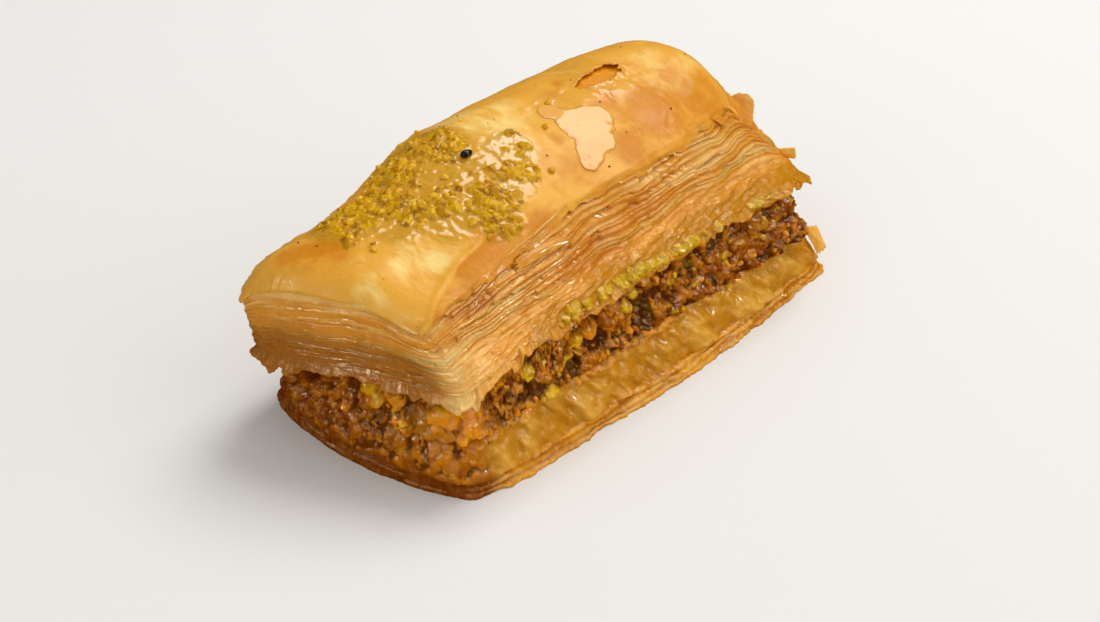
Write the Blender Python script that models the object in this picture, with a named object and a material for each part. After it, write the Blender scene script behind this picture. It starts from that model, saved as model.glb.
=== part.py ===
"""A piece of baklava, cut from a tray: a puffed stack of phyllo over a layer of chopped nuts in syrup,
on a soaked pastry base. Three solids, one for each layer that runs through the piece.

Every layer starts as a block cut into a lattice, whose corners (u, v, s) run from 0 to 1 along the
length, across the width and up the layer. A function of each layer then moves them into place.
The script's own unit is the millimetre. Lengths are measured from the near corner of the cut, with +X
along the piece and +Y away from the near side.
"""

import math

import bmesh
import bpy
from mathutils import Vector, noise

MM = 0.001
GAP = 0.3  # kept between two layers that lie on each other

# The cut: the outline of the stack's foot, and how far the knife strayed from it.
LENGTH = 69.2
WIDTH = 34.6
NEAR_STRAY = 1.0  # the near side bends inwards by this much in the middle
FRONT_BOW = 2.6  # the front end's cut bows outwards in the middle
FRONT_OUT = 0.4

# Heights over the plate.
BASE_HEIGHT = 7.0
SEAM_HEIGHT = 15.4  # top of the nuts
SEAM_SAG = 7.0  # how far the stack sinks at its back corner over the front end
SEAM_SAG_BEND = 1.6  # above 1, the middle of the front end sinks less
SEAM_SAG_START = -3.0
SEAM_SAG_REACH = 17.0
SEAM_END_DROP = 1.4  # how far the near side's two corners hang down
SEAM_END_REACH = 4.0
SKIN_NEAR_EDGE = 25.8
SKIN_CREST = 31.2
SKIN_BACK_EDGE = 27.8
CREST_PLACE = 0.66  # share of the width where the skin is highest
CREST_FALL = 2.2  # how late the skin falls from its crest to the back edge

# The skin starts lower over the front end, and a blister stands near the far end.
FRONT_SLOPE = 3.4
FRONT_SLOPE_BACK = 6.2  # the same at the back edge
FRONT_SLOPE_START = 5.0
FRONT_SLOPE_LENGTH = 22.0
PUFF_HEIGHT = 2.3
PUFF_PLACE = (63.0, 18.0)
PUFF_RADIUS = 6.5

# The knife pressed the skin down at its ends, most of all at the front end's back corner.
FRONT_PRESS = 2.6
FRONT_CORNER_PRESS = 1.6
FAR_PRESS = 4.0
FRONT_PRESS_REACH = 2.6
FAR_PRESS_REACH = 4.0

# How much smaller the stack is at its rim than at its foot, side by side.
STACK_NEAR_FLARE = 7.2
STACK_NEAR_FLARE_FAR_END = 10.6
STACK_NEAR_TWIST = (-1.1, 1.0)  # the foot's near side at the front end and at the far end
STACK_TWIST_START = 0.7
STACK_FAR_FLARE = 3.4
STACK_BACK_FLARE = 1.6
STACK_FRONT_LEAN = 1.6
STACK_FAN = 1.15  # above 1, the lower leaves stand steeper than the upper ones
BACK_CORNER_OUT = 3.6  # the foot's back corner over the front end
FRONT_TIP = 6.0  # the skin's back corner reaches out over the front end

# How far the nuts and the base stand out over the cut (+) or stay back from it (-).
NUTS_SET_BACK = 1.7
NUTS_SLOPE = 2.3
NUTS_SLOPE_BEND = 1.3
NUTS_FAR_BACK = 1.8
BASE_SET_BACK = 0.5
BASE_OUT = 3.0
BASE_NEAR_BELLY = 1.0
BASE_NEAR_FAR_BACK = 1.6  # the near side stands back by this much at the far end
BASE_BACK_BACK = 1.6
BASE_FRONT_OUT = 1.6
BASE_FRONT_BOW = 1.2  # times FRONT_BOW
BASE_FAR_OUT = 0.4
BASE_BULGE_ROUND = 0.65  # share of the bulge that is round, the rest being straight

# Layered and crumbly surfaces.
LEAF_STEP = 0.38
LEAF_WAVE = 0.7
LEAF_WAVE_SIZE = 11.0
LEAF_WAVE_SHEAR = 40.0  # how fast the wave changes from leaf to leaf
NUT_BUMP = 0.75
NUT_BUMP_SIZE = 3.2
NUT_BUMP_SHEAR = 9.0
BASE_WAVE = 0.45
BASE_WAVE_SIZE = 5.0
BASE_WAVE_SHEAR = 14.0
SKIN_WRINKLE = 0.35
SKIN_WRINKLE_SIZE = 9.0
SKIN_WRINKLE_STRETCH = 1.6

# No corner of the outline is sharp.
CORNER_PULL = 0.9
CORNER_ALONG = 14
CORNER_ACROSS = 7

# The lattice of each layer.
COLUMNS = 36
ROWS = 18
LEAF_LEVELS = 12
NUT_LEVELS = 6
BASE_LEVELS = 6
EDGE_CROWDING = 0.055  # lattice lines lie closer together near the cut faces
SMOOTH_BELOW = math.radians(50.0)
ON_PLANE = 1e-6

# Colour, roughness and gloss of each layer's glaze.
BASE_FINISH = ((0.52, 0.26, 0.05), 0.35, 0.5)
NUTS_FINISH = ((0.16, 0.055, 0.010), 0.30, 0.7)
STACK_FINISH = ((0.72, 0.42, 0.12), 0.38, 0.5)


def smooth(t):
    """0 to 1 with a soft start and a soft end."""
    t = min(1.0, max(0.0, t))
    return t * t * (3.0 - 2.0 * t)


def mix(a, b, t):
    return a + (b - a) * t


def bow(t):
    """0 at both ends and 1 in the middle."""
    return math.sin(math.pi * min(1.0, max(0.0, t)))


def rough(x, y, z, size):
    """Smooth noise from about -1 to 1 whose bumps are as far apart as size."""
    return 2.0 * noise.noise(Vector((x, y, z)) / size)


def inside(u, v, front, far, near, back):
    """The place of (u, v) in an outline whose four sides stand where the arguments say."""
    corner = abs(2.0 * u - 1.0) ** CORNER_ALONG * abs(2.0 * v - 1.0) ** CORNER_ACROSS
    pull = CORNER_PULL * corner
    return mix(front + pull, far - pull, u), mix(near + pull, back - pull, v)


def seam_height(x, y):
    """Top of the nuts: level, but sinking towards the back corner of the front end and at the ends."""
    across = min(1.0, max(0.0, y / WIDTH))
    reach = max(0.0, x - SEAM_SAG_START) / SEAM_SAG_REACH
    sag = SEAM_SAG * across**SEAM_SAG_BEND * math.exp(-reach)
    ends = math.exp(-max(0.0, x) / SEAM_END_REACH) + math.exp(min(0.0, x - LENGTH) / SEAM_END_REACH)
    return SEAM_HEIGHT - sag - SEAM_END_DROP * ends * (1.0 - smooth(2.0 * across))


def skin_height(x, y, u, v):
    """The puffed top sheet: a dome across the width, pressed down at both cut ends, with a blister."""
    if v < CREST_PLACE:
        dome = mix(SKIN_NEAR_EDGE, SKIN_CREST, bow(0.5 * v / CREST_PLACE))
    else:
        fall = (v - CREST_PLACE) / (1.0 - CREST_PLACE)
        dome = mix(SKIN_CREST, SKIN_BACK_EDGE, fall**CREST_FALL)
    slope = mix(FRONT_SLOPE, FRONT_SLOPE_BACK, smooth(v))
    slope *= 1.0 - smooth((x - FRONT_SLOPE_START) / FRONT_SLOPE_LENGTH)
    front = mix(FRONT_PRESS, FRONT_PRESS + FRONT_CORNER_PRESS, smooth(v))
    front *= math.exp(-LENGTH * u / FRONT_PRESS_REACH)
    far = FAR_PRESS * math.exp(-LENGTH * (1.0 - u) / FAR_PRESS_REACH)
    away = math.hypot(x - PUFF_PLACE[0], y - PUFF_PLACE[1]) / PUFF_RADIUS
    puff = PUFF_HEIGHT * math.exp(-away * away)
    wrinkle = SKIN_WRINKLE * rough(x, SKIN_WRINKLE_STRETCH * y, 0.0, SKIN_WRINKLE_SIZE)
    return dome - slope - front - far + puff + wrinkle


def leaf_edge(u, v, s):
    """How far the leaf at s stands out between its neighbours, along its wavy edge."""
    step = 0.0
    if 0.0 < s < 1.0:
        step = LEAF_STEP if round(s * LEAF_LEVELS) % 2 else -LEAF_STEP
    return step + LEAF_WAVE * rough(LENGTH * u, WIDTH * v, LEAF_WAVE_SHEAR * s, LEAF_WAVE_SIZE)


def top_pastry(u, v, s):
    """The stack of leaves: its foot is the largest sheet and its rim the smallest, as a knife leaves it."""
    fan = s**STACK_FAN
    out = leaf_edge(u, v, s)
    twist = smooth((u - STACK_TWIST_START) / (1.0 - STACK_TWIST_START))
    flare = mix(STACK_NEAR_FLARE, STACK_NEAR_FLARE_FAR_END, twist)
    near = mix(*STACK_NEAR_TWIST, u) + NEAR_STRAY * bow(u) + flare * fan
    back = WIDTH - STACK_BACK_FLARE * fan
    front = -FRONT_OUT - FRONT_BOW * bow(v) + STACK_FRONT_LEAN * s * bow(v)
    front -= smooth(v) * mix(BACK_CORNER_OUT, FRONT_TIP, s)
    far = LENGTH - STACK_FAR_FLARE * fan
    x, y = inside(u, v, front - out, far + out, near - out, back + out)
    foot = seam_height(x, y) + GAP
    return x, y, mix(foot, skin_height(x, y, u, v), s)


def nut_filling(u, v, s):
    """Chopped nuts in syrup: set back under the stack, spreading towards the base, lumpy at the sides."""
    out = NUTS_SLOPE * (1.0 - s) ** NUTS_SLOPE_BEND - NUTS_SET_BACK
    out += NUT_BUMP * rough(LENGTH * u, WIDTH * v, NUT_BUMP_SHEAR * s, NUT_BUMP_SIZE)
    near = NEAR_STRAY * bow(u) - out
    front = -FRONT_OUT - FRONT_BOW * bow(v) - out
    x, y = inside(u, v, front, LENGTH - NUTS_FAR_BACK + out, near, WIDTH + out)
    return x, y, mix(BASE_HEIGHT + GAP, seam_height(x, y), s)


def bottom_pastry(u, v, s):
    """The soaked base: a bulging side over thin leaves that spread on the plate."""
    bulge = mix(1.0 - s, math.sqrt(max(0.0, 1.0 - s)), BASE_BULGE_ROUND)
    wave = BASE_WAVE * rough(LENGTH * u, WIDTH * v, BASE_WAVE_SHEAR * s, BASE_WAVE_SIZE)
    out = BASE_OUT * bulge - BASE_SET_BACK + wave
    near = -out - BASE_NEAR_BELLY * bow(u) * bulge + BASE_NEAR_FAR_BACK * smooth(2.0 * u - 1.0)
    back = WIDTH + out - BASE_BACK_BACK
    front = FRONT_OUT - BASE_FRONT_BOW * FRONT_BOW * bow(v) - BASE_FRONT_OUT * bulge - wave
    far = LENGTH + BASE_FAR_OUT + BASE_FRONT_OUT * bulge + wave
    x, y = inside(u, v, front, far, near, back)
    return x, y, BASE_HEIGHT * s


def crowded(count):
    """count + 1 places from 0 to 1, closer together towards both ends."""
    steps = (i / count for i in range(count + 1))
    return [t - EDGE_CROWDING * math.sin(2.0 * math.pi * t) for t in steps]


def cut_block(levels):
    """A unit block cut by planes into COLUMNS x ROWS x levels, in a new bmesh."""
    block = bmesh.new()
    bmesh.ops.create_cube(block, size=1.0)
    bmesh.ops.translate(block, vec=(0.5, 0.5, 0.5), verts=block.verts)
    even = [k / levels for k in range(levels + 1)]
    for axis, places in enumerate((crowded(COLUMNS), crowded(ROWS), even)):
        normal = Vector((0.0, 0.0, 0.0))
        normal[axis] = 1.0
        for place in places[1:-1]:
            everything = block.verts[:] + block.edges[:] + block.faces[:]
            bmesh.ops.bisect_plane(block, geom=everything, plane_co=normal * place, plane_no=normal)
    return block


def flatten_caps(block, caps):
    """Joins the lattice faces of each flat cap into one face. caps holds the caps' values of s."""
    for cap in caps:
        faces = [f for f in block.faces if all(abs(v.co.z - cap) < ON_PLANE for v in f.verts)]
        bmesh.ops.dissolve_faces(block, faces=faces)


def layer(shape, levels, caps, finish):
    """One object, named after its shape: the lattice block moved into place by that function."""
    block = cut_block(levels)
    flatten_caps(block, caps)
    for corner in block.verts:
        corner.co = Vector(shape(*corner.co)) * MM
    bmesh.ops.recalc_face_normals(block, faces=block.faces)
    name = shape.__name__
    mesh = bpy.data.meshes.new(name)
    block.to_mesh(mesh)
    block.free()
    mesh.shade_smooth()
    mesh.set_sharp_from_angle(angle=SMOOTH_BELOW)
    mesh.materials.append(glaze(name, *finish))
    made = bpy.data.objects.new(name, mesh)
    bpy.context.scene.collection.objects.link(made)
    return made


def glaze(name, color, roughness, gloss):
    """The syrupy surface of one layer."""
    material = bpy.data.materials.new(name)
    material.use_nodes = True
    shader = material.node_tree.nodes["Principled BSDF"]
    shader.inputs["Base Color"].default_value = (*color, 1.0)
    shader.inputs["Roughness"].default_value = roughness
    shader.inputs["Metallic"].default_value = 0.0
    shader.inputs["Coat Weight"].default_value = gloss
    return material


def centre_on_floor(layers):
    """Moves the whole piece so that the middle of its outline stands on the origin."""
    corners = [corner.co for made in layers for corner in made.data.vertices]
    low = Vector([min(c[axis] for c in corners) for axis in range(3)])
    high = Vector([max(c[axis] for c in corners) for axis in range(3)])
    middle = (low + high) / 2.0
    for made in layers:
        for corner in made.data.vertices:
            corner.co -= Vector((middle.x, middle.y, low.z))


def clear_scene():
    for old in list(bpy.data.objects):
        bpy.data.objects.remove(old, do_unlink=True)


def main():
    clear_scene()
    base = layer(bottom_pastry, BASE_LEVELS, (0.0, 1.0), BASE_FINISH)
    nuts = layer(nut_filling, NUT_LEVELS, (0.0,), NUTS_FINISH)
    stack = layer(top_pastry, LEAF_LEVELS, (), STACK_FINISH)
    centre_on_floor([base, nuts, stack])


main()
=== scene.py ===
import itertools
import math

import bpy
import numpy as np
from bpy.props import FloatProperty, FloatVectorProperty, IntProperty, PointerProperty
from bpy.types import Operator, Panel, PropertyGroup
from mathutils import Euler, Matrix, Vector, kdtree


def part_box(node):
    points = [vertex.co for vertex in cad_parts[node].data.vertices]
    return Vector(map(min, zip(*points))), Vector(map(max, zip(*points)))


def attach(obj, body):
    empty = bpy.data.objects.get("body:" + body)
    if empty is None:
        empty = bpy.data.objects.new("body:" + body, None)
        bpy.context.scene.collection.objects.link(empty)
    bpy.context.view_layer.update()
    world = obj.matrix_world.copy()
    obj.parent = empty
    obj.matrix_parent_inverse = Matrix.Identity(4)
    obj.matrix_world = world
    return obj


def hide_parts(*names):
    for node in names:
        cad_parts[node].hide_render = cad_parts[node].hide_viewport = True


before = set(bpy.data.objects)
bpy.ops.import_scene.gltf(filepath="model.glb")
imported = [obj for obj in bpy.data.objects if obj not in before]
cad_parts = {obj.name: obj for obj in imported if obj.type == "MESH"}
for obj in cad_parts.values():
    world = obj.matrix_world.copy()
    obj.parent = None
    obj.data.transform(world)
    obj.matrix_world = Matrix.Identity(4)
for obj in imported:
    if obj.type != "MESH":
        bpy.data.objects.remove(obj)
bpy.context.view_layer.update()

bl_info = {
    "name": "Baklava piece",
    "version": (1, 0, 0),
    "blender": (4, 5, 0),
    "location": "3D View > Sidebar > Baklava",
    "description": "Bakes the looks of a cut piece of baklava round its plain solids",
    "category": "Object",
}

BODY = "root"
MM = 0.001

# ---------- The block ----------
# It is cut as the solids are. Its sizes are in millimetres, from the near corner of the cut.
BASE_STANDS_OUT = (4.296, 3.657)  # how far the base reaches past the cut's near corner, in x and in y

LENGTH = 69.2
WIDTH = 34.6
NEAR_STRAY = 1.0
FRONT_BOW = 2.6
FRONT_OUT = 0.4

BASE_HEIGHT = 7.0
SEAM_HEIGHT = 15.4
SEAM_SAG = 7.0
SEAM_SAG_BEND = 1.6
SEAM_SAG_START = -3.0
SEAM_SAG_REACH = 17.0
SEAM_END_DROP = 1.4
SEAM_END_REACH = 4.0
SKIN_NEAR_EDGE = 25.8
SKIN_CREST = 31.2
SKIN_BACK_EDGE = 27.8
CREST_PLACE = 0.66
CREST_FALL = 2.2

FRONT_SLOPE = 3.4
FRONT_SLOPE_BACK = 6.2
FRONT_SLOPE_START = 5.0
FRONT_SLOPE_LENGTH = 22.0
PUFF_HEIGHT = 2.3
PUFF_PLACE = (63.0, 18.0)
PUFF_RADIUS = 6.5
FRONT_PRESS = 2.6
FRONT_CORNER_PRESS = 1.6
FAR_PRESS = 4.0
FRONT_PRESS_REACH = 2.6
FAR_PRESS_REACH = 4.0

STACK_NEAR_FLARE = 7.2
STACK_NEAR_FLARE_FAR_END = 10.6
STACK_NEAR_TWIST = (-1.1, 1.0)
STACK_TWIST_START = 0.7
STACK_FAR_FLARE = 3.4
STACK_BACK_FLARE = 1.6
STACK_FRONT_LEAN = 1.6
STACK_FAN = 1.15
BACK_CORNER_OUT = 3.6
FRONT_TIP = 6.0

NUTS_SET_BACK = 1.7
NUTS_SLOPE = 2.3
NUTS_SLOPE_BEND = 1.3
NUTS_FAR_BACK = 1.8
BASE_SET_BACK = 0.5
BASE_OUT = 3.0
BASE_NEAR_BELLY = 1.0
BASE_NEAR_FAR_BACK = 1.6
BASE_BACK_BACK = 1.6
BASE_FRONT_OUT = 1.6
BASE_FRONT_BOW = 1.2
BASE_FAR_OUT = 0.4
BASE_BULGE_ROUND = 0.65

SKIN_WRINKLE = 0.35
SKIN_WRINKLE_SIZE = 9.0
SKIN_WRINKLE_STRETCH = 1.6
CORNER_PULL = 0.9
CORNER_ALONG = 14
CORNER_ACROSS = 7
FRONT_ROUND = 6.0  # how far the looks of the front end reach round its corners
NEAR_ROUND = 0.125  # the same for the near side, as a share of the width


def smooth(t):
    """0 to 1 with a soft start and a soft end."""
    t = np.clip(t, 0.0, 1.0)
    return t * t * (3.0 - 2.0 * t)


def mix(a, b, t):
    """a where t is 0 and b where t is 1."""
    return a + (b - a) * t


def bow(t):
    """0 at both ends and 1 in the middle."""
    return np.sin(np.pi * np.clip(t, 0.0, 1.0))


NOISE_STRENGTH = 1.9  # brings the noise to about -1 and 1
DIRECTIONS = np.random.default_rng(7).normal(size=(256, 3))
DIRECTIONS /= np.linalg.norm(DIRECTIONS, axis=1)[:, None]


def rough(x, y, z, size):
    """Smooth noise from about -1 to 1 whose bumps are as far apart as size."""
    place = np.stack(np.broadcast_arrays(x, y, z), axis=-1).astype(float) / size
    cell = np.floor(place).astype(np.int64)
    inner = place - cell
    ease = inner**3 * (inner * (inner * 6.0 - 15.0) + 10.0)
    total = np.zeros(place.shape[:-1])
    for corner in itertools.product((0, 1), repeat=3):
        at = cell + corner
        mixed = at[..., 0] * 73856093 ^ at[..., 1] * 19349663 ^ at[..., 2] * 83492791
        mixed = (mixed ^ (mixed >> 13)) * 1274126177
        lean = DIRECTIONS[(mixed >> 11) & 255]
        share = np.prod(np.where(np.array(corner, bool), ease, 1.0 - ease), axis=-1)
        total += share * np.sum(lean * (inner - corner), axis=-1)
    return NOISE_STRENGTH * total


def blobs(x, y, places, sharpness=6.0):
    """Above 0 inside the joined circles of places, (x, y, radius) each, and up to 1 at their middles."""
    inside = [np.exp(sharpness * (1.0 - np.hypot(x - px, y - py) / radius)) for px, py, radius in places]
    return np.log(sum(inside)) / sharpness


def spots(x, y, places):
    """Soft spots from 0 to 1 at places, (x, y, radius, strength) each."""
    total = np.zeros(np.broadcast(x, y).shape)
    for px, py, radius, strength in places:
        total = np.maximum(total, strength * np.exp(-(((x - px) ** 2 + (y - py) ** 2) / radius**2)))
    return total


def outline(u, v, front, far, near, back):
    """The place of (u, v) in an outline whose four sides stand where the arguments say."""
    corner = np.abs(2.0 * u - 1.0) ** CORNER_ALONG * np.abs(2.0 * v - 1.0) ** CORNER_ACROSS
    pull = CORNER_PULL * corner
    return mix(front + pull, far - pull, u), mix(near + pull, back - pull, v)


def seam_height(x, y):
    """Top of the nuts: level, but sinking towards the back corner of the front end and at the ends."""
    across = np.clip(y / WIDTH, 0.0, 1.0)
    reach = np.maximum(0.0, x - SEAM_SAG_START) / SEAM_SAG_REACH
    sag = SEAM_SAG * across**SEAM_SAG_BEND * np.exp(-reach)
    front = np.exp(-np.maximum(0.0, x) / SEAM_END_REACH)
    ends = front + np.exp(np.minimum(0.0, x - LENGTH) / SEAM_END_REACH)
    return SEAM_HEIGHT - sag - SEAM_END_DROP * ends * (1.0 - smooth(2.0 * across))


def skin_height(x, y, u, v):
    """The puffed top sheet: a dome across the width, pressed down at both cut ends, with a blister."""
    rise = mix(SKIN_NEAR_EDGE, SKIN_CREST, bow(0.5 * np.minimum(v, CREST_PLACE) / CREST_PLACE))
    fall = np.maximum(0.0, v - CREST_PLACE) / (1.0 - CREST_PLACE)
    dome = np.where(v < CREST_PLACE, rise, mix(SKIN_CREST, SKIN_BACK_EDGE, fall**CREST_FALL))
    slope = mix(FRONT_SLOPE, FRONT_SLOPE_BACK, smooth(v))
    slope = slope * (1.0 - smooth((x - FRONT_SLOPE_START) / FRONT_SLOPE_LENGTH))
    front = mix(FRONT_PRESS, FRONT_PRESS + FRONT_CORNER_PRESS, smooth(v))
    front = front * np.exp(-LENGTH * u / FRONT_PRESS_REACH)
    far = FAR_PRESS * np.exp(-LENGTH * (1.0 - u) / FAR_PRESS_REACH)
    away = np.hypot(x - PUFF_PLACE[0], y - PUFF_PLACE[1]) / PUFF_RADIUS
    puff = PUFF_HEIGHT * np.exp(-away * away)
    wrinkle = SKIN_WRINKLE * rough(x, SKIN_WRINKLE_STRETCH * y, 0.0, SKIN_WRINKLE_SIZE)
    return dome - slope - front - far + puff + wrinkle


def stack_point(u, v, s, out, level=None):
    """A point of the stack of leaves, out millimetres beyond its cut face. level is the height whose
    outline it keeps to, where that isn't its own."""
    level = s if level is None else level
    fan = level**STACK_FAN
    twist = smooth((u - STACK_TWIST_START) / (1.0 - STACK_TWIST_START))
    flare = mix(STACK_NEAR_FLARE, STACK_NEAR_FLARE_FAR_END, twist)
    near = mix(*STACK_NEAR_TWIST, u) + NEAR_STRAY * bow(u) + flare * fan
    back = WIDTH - STACK_BACK_FLARE * fan
    front = -FRONT_OUT - FRONT_BOW * bow(v) + STACK_FRONT_LEAN * level * bow(v)
    front = front - smooth(v) * mix(BACK_CORNER_OUT, FRONT_TIP, level)
    far = LENGTH - STACK_FAR_FLARE * fan
    x, y = outline(u, v, front - out, far + out, near - out, back + out)
    return x, y, mix(seam_height(x, y), skin_height(x, y, u, v), s)


def nuts_point(u, v, s, out):
    """A point of the nut filling's side, out millimetres beyond it."""
    out = out + NUTS_SLOPE * (1.0 - s) ** NUTS_SLOPE_BEND - NUTS_SET_BACK
    near = NEAR_STRAY * bow(u) - out
    front = -FRONT_OUT - FRONT_BOW * bow(v) - out
    x, y = outline(u, v, front, LENGTH - NUTS_FAR_BACK + out, near, WIDTH + out)
    return x, y, mix(BASE_HEIGHT, seam_height(x, y), s)


def base_point(u, v, s, out):
    """A point of the soaked base's side, out millimetres beyond it."""
    bulge = mix(1.0 - s, np.sqrt(np.maximum(0.0, 1.0 - s)), BASE_BULGE_ROUND)
    beyond = BASE_OUT * bulge - BASE_SET_BACK + out
    near = -beyond - BASE_NEAR_BELLY * bow(u) * bulge + BASE_NEAR_FAR_BACK * smooth(2.0 * u - 1.0)
    back = WIDTH + beyond - BASE_BACK_BACK
    front = FRONT_OUT - BASE_FRONT_BOW * FRONT_BOW * bow(v) - BASE_FRONT_OUT * bulge - out
    far = LENGTH + BASE_FAR_OUT + BASE_FRONT_OUT * bulge + out
    x, y = outline(u, v, front, far, near, back)
    return x, y, BASE_HEIGHT * s


def near_corner():
    """The near corner of the cut, in the frame."""
    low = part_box("bottom_pastry")[0]
    return np.array([low.x + BASE_STANDS_OUT[0] * MM, low.y + BASE_STANDS_OUT[1] * MM, 0.0])


CORNER = near_corner()


def placed(x, y, z):
    """Points of the block, in millimetres, as points of the frame, in metres."""
    return np.stack(np.broadcast_arrays(x, y, z), axis=-1).reshape(-1, 3) * MM + CORNER


# ---------- Meshes ----------
def grid_faces(columns, rows, wrap=False):
    """Four-sided faces over a grid of points, rows one after another. wrap joins its last column
    to its first."""
    column = np.arange(columns if wrap else columns - 1)
    beside = (column + 1) % columns
    row = np.arange(rows - 1)[:, None] * columns
    faces = [row + column, row + beside, row + columns + beside, row + columns + column]
    return np.stack(faces, axis=-1).reshape(-1, 4)


def new_object(name, data):
    """An object in the scene, with its mesh, light or camera."""
    made = bpy.data.objects.new(name, data)
    bpy.context.scene.collection.objects.link(made)
    return made


def new_piece(name, points, faces, shares=None):
    """A mesh object from points and faces. shares holds named values that are kept on its points."""
    mesh = bpy.data.meshes.new(name)
    mesh.from_pydata(points.tolist(), [], [list(face) for face in faces])
    for label, values in (shares or {}).items():
        layer = mesh.attributes.new(label, "FLOAT", "POINT")
        layer.data.foreach_set("value", np.broadcast_to(values, len(points)).astype(np.float32).ravel())
    mesh.shade_smooth()
    return new_object(name, mesh)


def cut_out(points, faces, kept, shares):
    """Only the faces whose corners are all kept, with the points that they use."""
    faces = faces[kept[faces].all(axis=1)]
    used = np.unique(faces)
    index = np.full(len(points), -1)
    index[used] = np.arange(len(used))
    return points[used], index[faces], {label: values[used] for label, values in shares.items()}


def finished(piece, material, *stands_for, slot):
    """Gives a piece its material and ties it to the model."""
    piece.data.materials.clear()
    piece.data.materials.append(material)
    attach(piece, BODY)
    if stands_for:
        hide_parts(*stands_for)


def baked(piece, name):
    """The piece with its modifiers made into plain mesh, under a new name. The old piece is removed."""
    evaluated = piece.evaluated_get(bpy.context.evaluated_depsgraph_get())
    mesh, open_mesh = bpy.data.meshes.new_from_object(evaluated), piece.data
    mesh.name = name
    bpy.data.objects.remove(piece, do_unlink=True)
    bpy.data.meshes.remove(open_mesh)
    return new_object(name, mesh)


def thickened(piece, thickness, name):
    """A thin sheet given a wall below its surface, so many millimetres thick, as plain mesh."""
    wall = piece.modifiers.new("Wall", "SOLIDIFY")
    wall.thickness = thickness * MM
    wall.offset = -1.0
    wall.use_even_offset = False
    return baked(piece, name)


def round_trip(near, far, back, front):
    """(u, v) places once round the block, counterclockwise from above, with so many on each side."""
    along, across = np.arange(near) / near, np.arange(far) / far
    u = [along, np.ones(far), 1.0 - np.arange(back) / back, np.zeros(front)]
    v = [np.zeros(near), across, np.ones(back), 1.0 - np.arange(front) / front]
    return np.concatenate(u), np.concatenate(v)


def front_share(u):
    """1 on the front end and 0 on the long sides, changing softly round the corners."""
    return smooth(1.0 - LENGTH * u / FRONT_ROUND)


def near_share(v):
    """1 on the near side and 0 on the others, changing softly round the corners."""
    return smooth(1.0 - v / NEAR_ROUND)


def capped_faces(columns, rows):
    """Faces of a closed shell: rings of points, foot first, then the middles of the two caps."""
    count, turn = columns * rows, np.arange(columns)
    beside, rim = (turn + 1) % columns, count - columns
    foot = np.stack([beside, turn, np.full(columns, count)], axis=-1)
    top = np.stack([rim + turn, rim + beside, np.full(columns, count + 1)], axis=-1)
    return grid_faces(columns, rows, wrap=True).tolist() + foot.tolist() + top.tolist()


def joined(looks):
    """Named values of several groups of points, one group after another."""
    return {label: np.concatenate([group[label] for group in looks]) for label in looks[0]}


def rings(points, looks, columns):
    """Splits one list of points, and their named values, into rings of so many columns."""
    parts = [slice(start, start + columns) for start in range(0, len(points), columns)]
    return [(*points[part].T, {label: values[part] for label, values in looks.items()}) for part in parts]


def closed_band(rows, middle):
    """One closed shell from rings of (x, y, z, {share: values}) that run round the block, foot first.
    middle gives the heights of the two caps' centres."""
    columns = len(rows[0][0])
    points = [placed(x, y, z) for x, y, z, _ in rows]
    points.append(placed(0.5 * LENGTH, 0.5 * WIDTH, np.array(middle)))
    looks = [{label: np.broadcast_to(values, columns) for label, values in row[3].items()} for row in rows]
    looks.append({label: (0.0, 0.0) for label in looks[0]})
    return np.concatenate(points), capped_faces(columns, len(rows)), joined(looks)


# ---------- Rounded bits packed into a surface ----------
BITS_TRIED = 16  # how many bits near a point may cover it
BIT_HEADROOM = 0.2  # how far a bit's middle may lie out past the surface
BIT_WARP = ((0.24, 100.0, 1.2), (0.11, 50.0, 0.45))  # strength, step between axes and size of their lumps
FLAT_REACH = 0.56  # share of the skin's length that bits are strewn over
NUT, DARK_NUT, KERNEL, HUSK, SEED = KINDS = range(5)


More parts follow.
